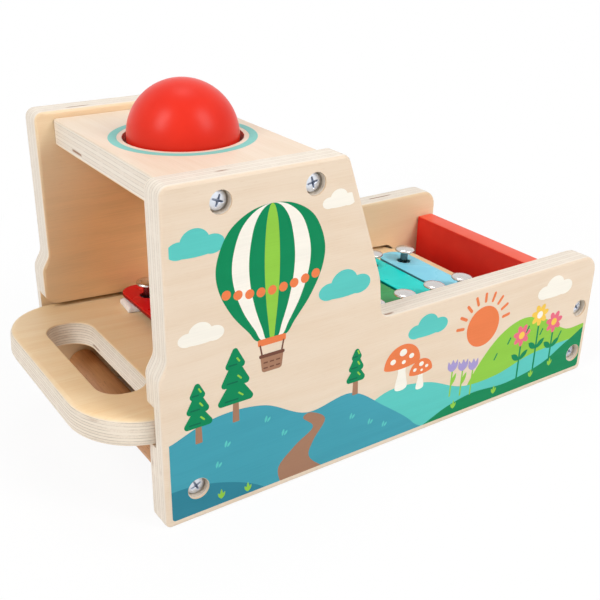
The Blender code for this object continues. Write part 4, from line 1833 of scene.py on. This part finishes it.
@dataclass
class Print:
    """A printed landscape on the front panel: a balloon over hills, pines, toadstools and flowers.

    Shapes are painted in order, later ones over earlier ones, and cut into one flat layer of ink.

    Attributes:
        margin: the bare strip inside the panel's edge, in millimetres as all that follows but lift.
        lift: how far the ink stands off the panel, in metres.
        hole_radius: what stays bare round each screw.
        tower: the foot, bend and top of the tower's sloping edge.
        setback: how far the tower's left edge is set back above the step.
        step: the lower and upper end of that step.
        trough: the height of the panel beside the trough.
        merge: how close points are that become one.
        shapes: what is painted, in order.
    """

    margin: float = 2.7
    lift: float = 0.03 * MM
    hole_radius: float = 4.6
    tower: tuple[Point, ...] = ((101.0, 66.1), (97.7, 80.5), (79.3, 132.6))
    setback: float = 3.5
    step: tuple[float, float] = (64.0, 71.0)
    trough: float = 63.4
    merge: float = 1e-4
    shapes: list[tuple[Hue, Outline]] = field(default_factory=list)

    def add(self, hue: Hue, *outlines: Outline) -> None:
        """Paint over what is there.

        Args:
            hue: the ink.
            outlines: what is painted with it.
        """
        for outline in outlines:
            self.shapes.append((hue, outline))

    def build(self) -> None:
        """Paint the landscape and lay it on the panel."""
        self.hills()
        self.sun_and_clouds()
        self.balloon(47.0, 99.0, 23.5)
        for x, foot, height in ((15.0, 36.0, 25.0), (31.0, 40.0, 31.0), (88.0, 33.5, 21.0)):
            self.pine(x, foot, height)
        for x, foot, size in ((113.0, 27.5, 1.0), (124.0, 24.5, 0.66)):
            self.toadstool(x, foot, size)
        for x, foot, height, hue in ((187.0, 15.0, 17.0, Hue.PINK), (198.0, 17.0, 23.0, Hue.YELLOW),
                                     (209.0, 15.5, 18.0, Hue.PINK)):
            self.daisy(x, foot, height, hue)
        for x, foot in ((143.0, 21.0), (149.5, 19.5), (156.0, 18.0)):
            self.tulip(x, foot)
        self.tufts()
        self.lay()

    def hills(self) -> None:
        """Paint the ground: far hills, a meadow with a path, and near banks."""
        self.add(Hue.LIME, smooth([(150, -6), (152, 12), (168, 33), (186, 41), (204, 36), (219, 27),
                                   (240, 24), (240, -6)]))
        self.add(Hue.AQUA, smooth([(80, -6), (84, 14), (104, 27), (128, 25), (150, 16), (172, 15),
                                   (200, 20), (240, 17), (240, -6)]))
        self.add(Hue.TEAL, smooth([(-8, -6), (-8, 30), (6, 38), (24, 43), (44, 41), (64, 31), (86, 33),
                                   (104, 21), (122, 6), (126, -6)]))
        self.add(Hue.BROWN, smooth([(58, -6), (50, 8), (58, 17), (67, 23), (62, 29), (66, 30.4),
                                     (73, 25), (67, 16), (66, 8), (80, -6)], steps=6))
        self.add(Hue.SEA, smooth([(-8, -6), (-8, 13), (8, 16), (26, 12), (42, 4), (50, -6)]))
        self.add(Hue.PINE, smooth([(120, -6), (134, 5), (156, 10), (180, 8.5), (204, 12), (222, 20),
                                   (240, 25), (240, -6)]))

    def sun_and_clouds(self) -> None:
        """Paint a sun behind the far hills and clouds round the balloon."""
        for step in range(9):
            turn = math.radians(8 + step * 20.5)
            ends = [(160 + reach * math.cos(turn), 44 + reach * math.sin(turn)) for reach in (12.5, 16.2)]
            self.shapes.insert(0, (Hue.ORANGE, stroke(ends, 1.5)))
        self.shapes.insert(0, (Hue.ORANGE, oval(160, 44, 10, 10, steps=48)))
        clouds = ((16, 112, 0.9, Hue.AQUA), (80, 82, 1.0, Hue.AQUA), (76, 118, 0.62, Hue.CREAM),
                  (17, 78, 0.75, Hue.CREAM), (206, 51, 0.95, Hue.CREAM), (126, 52, 0.9, Hue.AQUA))
        puffs = ((-7, 0, 5, 3.6), (0, 2.2, 6.4, 5.6), (7.5, 0.2, 5.4, 4), (0, -1.4, 11, 2.4))
        for x, y, size, hue in clouds:
            for dx, dy, wide, high in puffs:
                self.add(hue, oval(x + dx * size, y + dy * size, wide * size, high * size))

    def balloon(self, x: float, y: float, radius: float) -> None:
        """Paint a striped balloon with its basket.

        Args:
            x: its middle along X.
            y: its middle along Y.
            radius: half its width.
        """
        half = ((0, 1), (0.42, 0.92), (0.78, 0.66), (0.98, 0.2), (0.95, -0.22), (0.74, -0.66), (0.44, -1.04),
                (0.24, -1.26))
        for share, hue in ((1.0, Hue.PINE), (0.72, Hue.CREAM), (0.42, Hue.PINE), (0.14, Hue.LIME)):
            right = [(x + radius * share * u, y + radius * v) for u, v in half]
            left = [(x - radius * share * u, y + radius * v) for u, v in reversed(half[1:])]
            self.add(hue, smooth(right + left))
        for step in range(-4, 5):
            reach = step / 4
            spot = x + radius * 0.82 * reach
            self.add(Hue.ORANGE, oval(spot, y - radius * (0.42 - 0.1 * reach ** 2), 1.9, 1.9))
        skirt = y - radius * 1.29
        self.add(Hue.ORANGE, rounded([(x - 6.2, skirt - 1.6, 0.7), (x + 6.2, skirt - 1.6, 0.7),
                                      (x + 6.2, skirt + 1.2, 0.7), (x - 6.2, skirt + 1.2, 0.7)]))
        foot = skirt - 13.0
        for side in (-1, 1):
            self.add(Hue.BARK, stroke([(x + side * 5.2, skirt - 1.4), (x + side * 4.2, foot + 6.5)], 0.7))
        self.add(Hue.BROWN, rounded([(x - 4.4, foot, 1.4), (x + 4.4, foot, 1.4), (x + 5.2, foot + 7, 0.6),
                                     (x - 5.2, foot + 7, 0.6)]))
        self.add(Hue.BARK, rounded([(x - 5.7, foot + 6.2, 0.6), (x + 5.7, foot + 6.2, 0.6),
                                    (x + 5.7, foot + 7.7, 0.6), (x - 5.7, foot + 7.7, 0.6)]))
        for row in range(2):
            for column in range(3):
                spot = x - 2.8 + 2.8 * column
                height = foot + 1.7 + 2.3 * row
                self.add(Hue.BARK, stroke([(spot - 0.7, height), (spot + 0.7, height)], 0.6))

    def pine(self, x: float, foot: float, height: float) -> None:
        """Paint a pine of three tiers.

        Args:
            x: its middle.
            foot: where its trunk stands.
            height: how high it is.
        """
        trunk = height * 0.2
        self.add(Hue.BROWN, rounded([(x - 1.5, foot - 2, 0.4), (x + 1.5, foot - 2, 0.4),
                                     (x + 1.2, foot + trunk + 2, 0.3), (x - 1.2, foot + trunk + 2, 0.3)]))
        for tier in range(3):
            low = foot + trunk + height * 0.24 * tier
            top = min(low + height * 0.42, foot + height)
            half = height * (0.29 - 0.062 * tier)
            self.add(Hue.PINE, rounded([(x - half, low, 1.5), (x + half, low, 1.5), (x, top, 1.2)]))
            self.add(Hue.DEEP, stroke([(x - half * 0.5, low + 1.7), (x + half * 0.1, low + 1.7)], 0.7))
            self.add(Hue.LIME, stroke([(x + half * 0.16, low + 4.2), (x + half * 0.34, low + 2.8)], 0.7))

    def toadstool(self, x: float, foot: float, size: float) -> None:
        """Paint a spotted toadstool.

        Args:
            x: its middle.
            foot: where it stands.
            size: how large it is.
        """
        self.add(Hue.CREAM, smooth([(x - 3.2 * size, foot - 1), (x - 2.1 * size, foot + 7 * size),
                                    (x - 2.3 * size, foot + 12 * size), (x + 2.3 * size, foot + 12 * size),
                                    (x + 2.1 * size, foot + 7 * size), (x + 3.2 * size, foot - 1)]))
        cap = arc((x, foot + 11 * size), (10 * size, 9.5 * size), 0, 180, 28)
        cap += arc((x, foot + 11 * size), (10 * size, 2.2 * size), 180, 360, 16)[1:-1]
        self.add(Hue.ORANGE, cap)
        for dx, dy, wide in ((-5.2, 13.4, 1.5), (0.2, 16.6, 2.0), (5.0, 13.8, 1.4), (0.8, 11.8, 1.1)):
            self.add(Hue.CREAM, oval(x + dx * size, foot + dy * size, wide * size, wide * 0.85 * size))

    def daisy(self, x: float, foot: float, height: float, hue: Hue) -> None:
        """Paint a daisy with two leaves.

        Args:
            x: where it stands along X.
            foot: where it stands along Y.
            height: from there to the flower's middle.
            hue: the petals' ink.
        """
        top = foot + height
        self.add(Hue.PINE, stroke([(x, foot - 6), (x, top)], 1.1))
        for lean in (38, 142):
            self.add(Hue.PINE, leaf(x, foot + height * 0.22, 7.0, 3.0, lean))
        petals = 7
        for petal in range(petals):
            turn = petal * 360 / petals + 12
            way = math.radians(turn)
            self.add(hue, oval(x + 3.3 * math.cos(way), top + 3.3 * math.sin(way), 2.5, 1.5, turn))
        self.add(Hue.CREAM if hue is Hue.YELLOW else Hue.YELLOW, oval(x, top, 1.9, 1.9))

    def tulip(self, x: float, foot: float) -> None:
        """Paint a small tulip.

        Args:
            x: where it stands along X.
            foot: where its stem starts to show.
        """
        self.add(Hue.LIME, stroke([(x, foot - 8), (x + 0.4, foot + 5)], 0.9))
        self.add(Hue.LIME, leaf(x, foot - 3, 7, 2.2, 65))
        self.add(Hue.LILAC, smooth([(x - 2.4, foot + 10.2), (x - 2.5, foot + 6.6), (x + 0.4, foot + 4.6),
                                    (x + 3.2, foot + 6.6), (x + 3.1, foot + 10.2), (x + 1.7, foot + 8.6),
                                    (x + 0.4, foot + 10.6), (x - 0.9, foot + 8.6)], steps=5))

    def tufts(self) -> None:
        """Paint grass on the banks and specks on the hills."""
        for x, y in ((24, 5), (36, 3.6), (146, 5.4), (172, 5), (197, 6.4), (210, 9)):
            for turn, length in ((62, 3.4), (90, 4.6), (118, 3.4)):
                self.add(Hue.LIME, leaf(x, y, length, 1.2, turn))
        for x, y in ((26, 28), (44, 33), (52, 24), (86, 20), (96, 14), (22, 20), (104, 10)):
            self.add(Hue.AQUA, leaf(x, y, 3.2, 1.1, 75), leaf(x + 0.9, y, 2.6, 1.0, 52))
        for x, y in ((178, 30), (190, 33), (200, 29), (170, 24), (214, 24)):
            self.add(Hue.PINE, stroke([(x, y), (x + 1.4, y + 2.6)], 0.9))

    def region(self, length: float, height: float) -> Outline:
        """Draw the printed part of the panel, inside its edge.

        Args:
            length: the panel's length.
            height: its height.

        Returns:
            Points along the outline.
        """
        edge = self.margin
        foot, bend, top = self.tower
        return rounded([
            (edge, edge, 1.5), (length - edge, edge, 1.5), (length - edge, self.trough - edge, 6.5),
            (foot[0] - edge + 2, self.trough - edge, 2.5), (bend[0] - edge, bend[1], 20),
            (top[0] - edge + 1.4, height - edge, 2.0), (self.setback + edge, height - edge, 2.0),
            (self.setback + edge, self.step[1], 4), (edge, self.step[0], 4)])

    def lay(self) -> None:
        """Cut all shapes into one flat layer, each face in the ink painted last, and lay it on."""
        low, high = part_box("front_panel")
        region = self.region((high.x - low.x) / MM, high.z / MM)
        holes = []
        for node in bpy.data.objects.keys():
            if node.startswith("screw_front_"):
                spot = (middle(node) - low) / MM
                holes.append(oval(spot.x, spot.z, self.hole_radius, self.hole_radius, steps=40))
        loops = [region, *holes, *[outline for _, outline in self.shapes]]
        points: list[Vector] = []
        faces: list[list[int]] = []
        for loop in loops:
            faces.append(list(range(len(points), len(points) + len(loop))))
            points.extend(Vector(point) for point in counter_clockwise(loop))
        spots, _, cells, _, _, sources = delaunay_2d_cdt(points, [], faces, 0, self.merge)
        inks = list(Hue)
        builder = bmesh.new()
        corner = Vector((low.x, low.y - self.lift, low.z))
        verts = [builder.verts.new(corner + Vector((spot.x, 0, spot.y)) * MM) for spot in spots]
        first = 1 + len(holes)
        for cell, source in zip(cells, sources):
            painted = max(source, default=0)
            if painted < first or 0 not in source or any(hole in source for hole in range(1, first)):
                continue
            face = builder.faces.new([verts[index] for index in cell])
            face.material_index = inks.index(self.shapes[painted - first][0])
        loose = [vert for vert in builder.verts if not vert.link_faces]
        bmesh.ops.delete(builder, geom=loose, context="VERTS")
        piece = add_piece("front_print", builder)
        if piece.data.polygons[0].normal.y > 0:
            piece.data.flip_normals()
        for ink in inks:
            piece.data.materials.append(Ink(f"ink_{ink.name.lower()}", ink.value).material())
        settle(piece, Body.FRAME, "printed_birch")


# The studio

@dataclass
class Lamp:
    """A soft box that looks at the object.

    Attributes:
        name: the lamp's name.
        way: the way to it from the object.
        distance: how far off it hangs.
        size: its width and height.
        power: its power in watts.
    """

    name: str
    way: Vector
    distance: float
    size: Point
    power: float


@dataclass
class Studio:
    """The camera, soft light and pale floor.

    Attributes:
        eye: where the camera stands.
        yaw: how far it looks round from the part's Y axis, in degrees.
        pitch: how far it looks down.
        roll: how far it is tilted.
        lens: its focal length in millimetres.
        near: the nearest that it sees.
        target: what the lamps look at.
        ambient: the world's light from in front.
        backdrop: its light from behind the object.
        backdrop_edge: how far behind, from 0 to 1, that light is at its full strength.
        floor_size: half the floor's width.
        floor_drop: how far it lies under the part.
        floor_grey: how light it is under the lamps.
        floor_glow: how white it is beside the body.
        floor_reach: how far from the body it is all white.
        floor_inset: how far in from the panel's left end the dark under the body starts, and twice
            the width of its soft edge.
        lamps: the soft boxes.
    """

    eye: Vector = field(default_factory=lambda: Vector((-0.21942, -0.31512, 0.22394)))
    yaw: float = 34.602
    pitch: float = 24.998
    roll: float = 1.1207
    lens: float = 53.71
    near: float = 10.0 * MM
    target: Vector = field(default_factory=lambda: Vector((-0.01, 0.0, 0.07)))
    ambient: float = 0.34
    backdrop: float = 0.5
    backdrop_edge: float = 0.5
    floor_size: float = 6.0
    floor_drop: float = 0.4 * MM
    floor_grey: float = 0.9
    floor_glow: float = 0.92
    floor_reach: float = 0.25
    floor_inset: float = 0.014
    lamps: tuple[Lamp, ...] = (
        Lamp("left_box", Vector((-0.77, -0.16, 0.62)), 1.2, (0.34, 0.7), 6.4),
        Lamp("front_box", Vector((0.34, -0.71, 0.63)), 1.2, (0.34, 0.7), 7.2),
        Lamp("top_box", Vector((0.12, 0.23, 0.966)), 1.2, (0.42, 0.24), 1.9),
    )

    def build(self) -> None:
        """Set up the whole studio."""
        self.camera()
        for lamp in self.lamps:
            self.lamp(lamp)
        self.world()
        self.floor()
        bpy.context.scene.view_settings.view_transform = "Standard"

    def camera(self) -> None:
        """Stand the camera where the photograph was taken from."""
        yaw, pitch, roll = (math.radians(angle) for angle in (self.yaw, self.pitch, self.roll))
        level_forward = Vector((math.sin(yaw), math.cos(yaw), 0))
        forward = level_forward * math.cos(pitch) - Z_AXIS * math.sin(pitch)
        level_right = Vector((math.cos(yaw), -math.sin(yaw), 0))
        level_up = level_right.cross(forward)
        right = level_right * math.cos(roll) + level_up * math.sin(roll)
        up = level_up * math.cos(roll) - level_right * math.sin(roll)
        data = bpy.data.cameras.new("camera")
        data.lens = self.lens
        data.clip_start = self.near
        camera = bpy.data.objects.new("camera", data)
        bpy.context.scene.collection.objects.link(camera)
        place = Matrix((right, up, -forward)).transposed().to_4x4()
        place.translation = self.eye
        camera.matrix_world = place
        bpy.context.scene.camera = camera

    def lamp(self, lamp: Lamp) -> None:
        """Hang one soft box.

        Args:
            lamp: its place, size and power.
        """
        data = bpy.data.lights.new(lamp.name, "AREA")
        data.shape = "RECTANGLE"
        data.size, data.size_y = lamp.size
        data.energy = lamp.power
        light = bpy.data.objects.new(lamp.name, data)
        bpy.context.scene.collection.objects.link(light)
        light.location = self.target + lamp.way.normalized() * lamp.distance
        light.rotation_euler = (-lamp.way).to_track_quat("-Z", "Y").to_euler()

    @staticmethod
    def seen(graph: Graph) -> bpy.types.NodeSocket:
        """Tell which rays show the backdrop.

        Args:
            graph: the tree that asks.

        Returns:
            1 for rays from the camera and for those that gloss and glass send on, and else 0.
        """
        path = graph.add("ShaderNodeLightPath").outputs
        sent_on = graph.math("MAXIMUM", path["Is Glossy Ray"], path["Is Transmission Ray"])
        return graph.math("MAXIMUM", path["Is Camera Ray"], sent_on)

    def world(self) -> None:
        """Light the scene dimly from in front and fully from a white backdrop behind it."""
        world = bpy.data.worlds.new("studio")
        world.use_nodes = True
        bpy.context.scene.world = world
        graph = Graph(world.node_tree)
        sky = world.node_tree.nodes["Background"]
        sky.inputs["Color"].default_value = (1, 1, 1, 1)
        yaw = math.radians(self.yaw)
        behind = (math.sin(yaw), math.cos(yaw), 0.0)
        way = graph.add("ShaderNodeTexCoord").outputs["Generated"]
        turn = graph.vector("DOT_PRODUCT", way, behind)
        sweep = graph.ease(turn, 0.0, self.backdrop_edge, self.ambient, self.backdrop)
        graph.feed(sky.inputs["Strength"], graph.math("MAXIMUM", sweep, self.seen(graph)))

    def floor(self) -> None:
        """Lay a white floor that keeps a faint shadow."""
        builder = bmesh.new()
        bmesh.ops.create_grid(builder, x_segments=1, y_segments=1, size=self.floor_size)
        floor = add_piece("floor", builder, Matrix.Translation((0, 0, -self.floor_drop)))
        material = bpy.data.materials.new("floor_white")
        material.use_nodes = True
        graph = Graph(material.node_tree)
        nodes = material.node_tree.nodes
        matt = nodes["Principled BSDF"]
        matt.inputs["Base Color"].default_value = (self.floor_grey, self.floor_grey, self.floor_grey, 1)
        matt.inputs["Roughness"].default_value = 0.9
        matt.inputs["Specular IOR Level"].default_value = 0.0
        glow = graph.add("ShaderNodeEmission")
        blend = graph.add("ShaderNodeMixShader")
        graph.feed(blend.inputs[0], graph.math("MULTIPLY", self.seen(graph), self.glare(graph)))
        graph.feed(blend.inputs[1], matt.outputs[0])
        graph.feed(blend.inputs[2], glow.outputs[0])
        graph.feed(nodes["Material Output"].inputs["Surface"], blend.outputs[0])
        floor.data.materials.append(material)

    def glare(self, graph: Graph) -> bpy.types.NodeSocket:
        """Let the floor glow: dark under the body, shaded round it, white far off.

        Args:
            graph: the floor's tree.

        Returns:
            How white it is, from 0 to 1.
        """
        low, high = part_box("front_panel")
        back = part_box("back_panel")[1].y
        left = low.x + self.floor_inset
        place = graph.add("ShaderNodeSeparateXYZ")
        graph.feed(place.inputs[0], graph.add("ShaderNodeTexCoord").outputs["Object"])
        along = graph.math("ABSOLUTE", graph.math("SUBTRACT", place.outputs["X"], (left + high.x) / 2))
        along = graph.math("SUBTRACT", along, (high.x - left) / 2)
        across = graph.math("SUBTRACT", graph.math("ABSOLUTE", place.outputs["Y"]), back)
        beyond = graph.math("MAXIMUM", along, across)
        near = graph.ease(beyond, -self.floor_inset / 2, 0.0, 0.0, self.floor_glow)
        far = graph.ease(beyond, 0.0, self.floor_reach, 0.0, 1 - self.floor_glow)
        return graph.math("ADD", near, far)


def main() -> None:
    """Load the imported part, dress it and light it."""
    logging.basicConfig(level=logging.INFO, format="%(name)s: %(message)s")
    for old in list(bpy.data.objects):
        bpy.data.objects.remove(old)
    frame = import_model()
    space = BoardSpace.read(frame)
    for assembly in (Carcass(space), PaintedRing(), Ball(), Screws(), Bars(space), Pins(space),
                     FeltStrips(space), Print(), Studio()):
        assembly.build()
        LOG.info("%s is built", type(assembly).__name__)


if __name__ == "__main__":
    main()
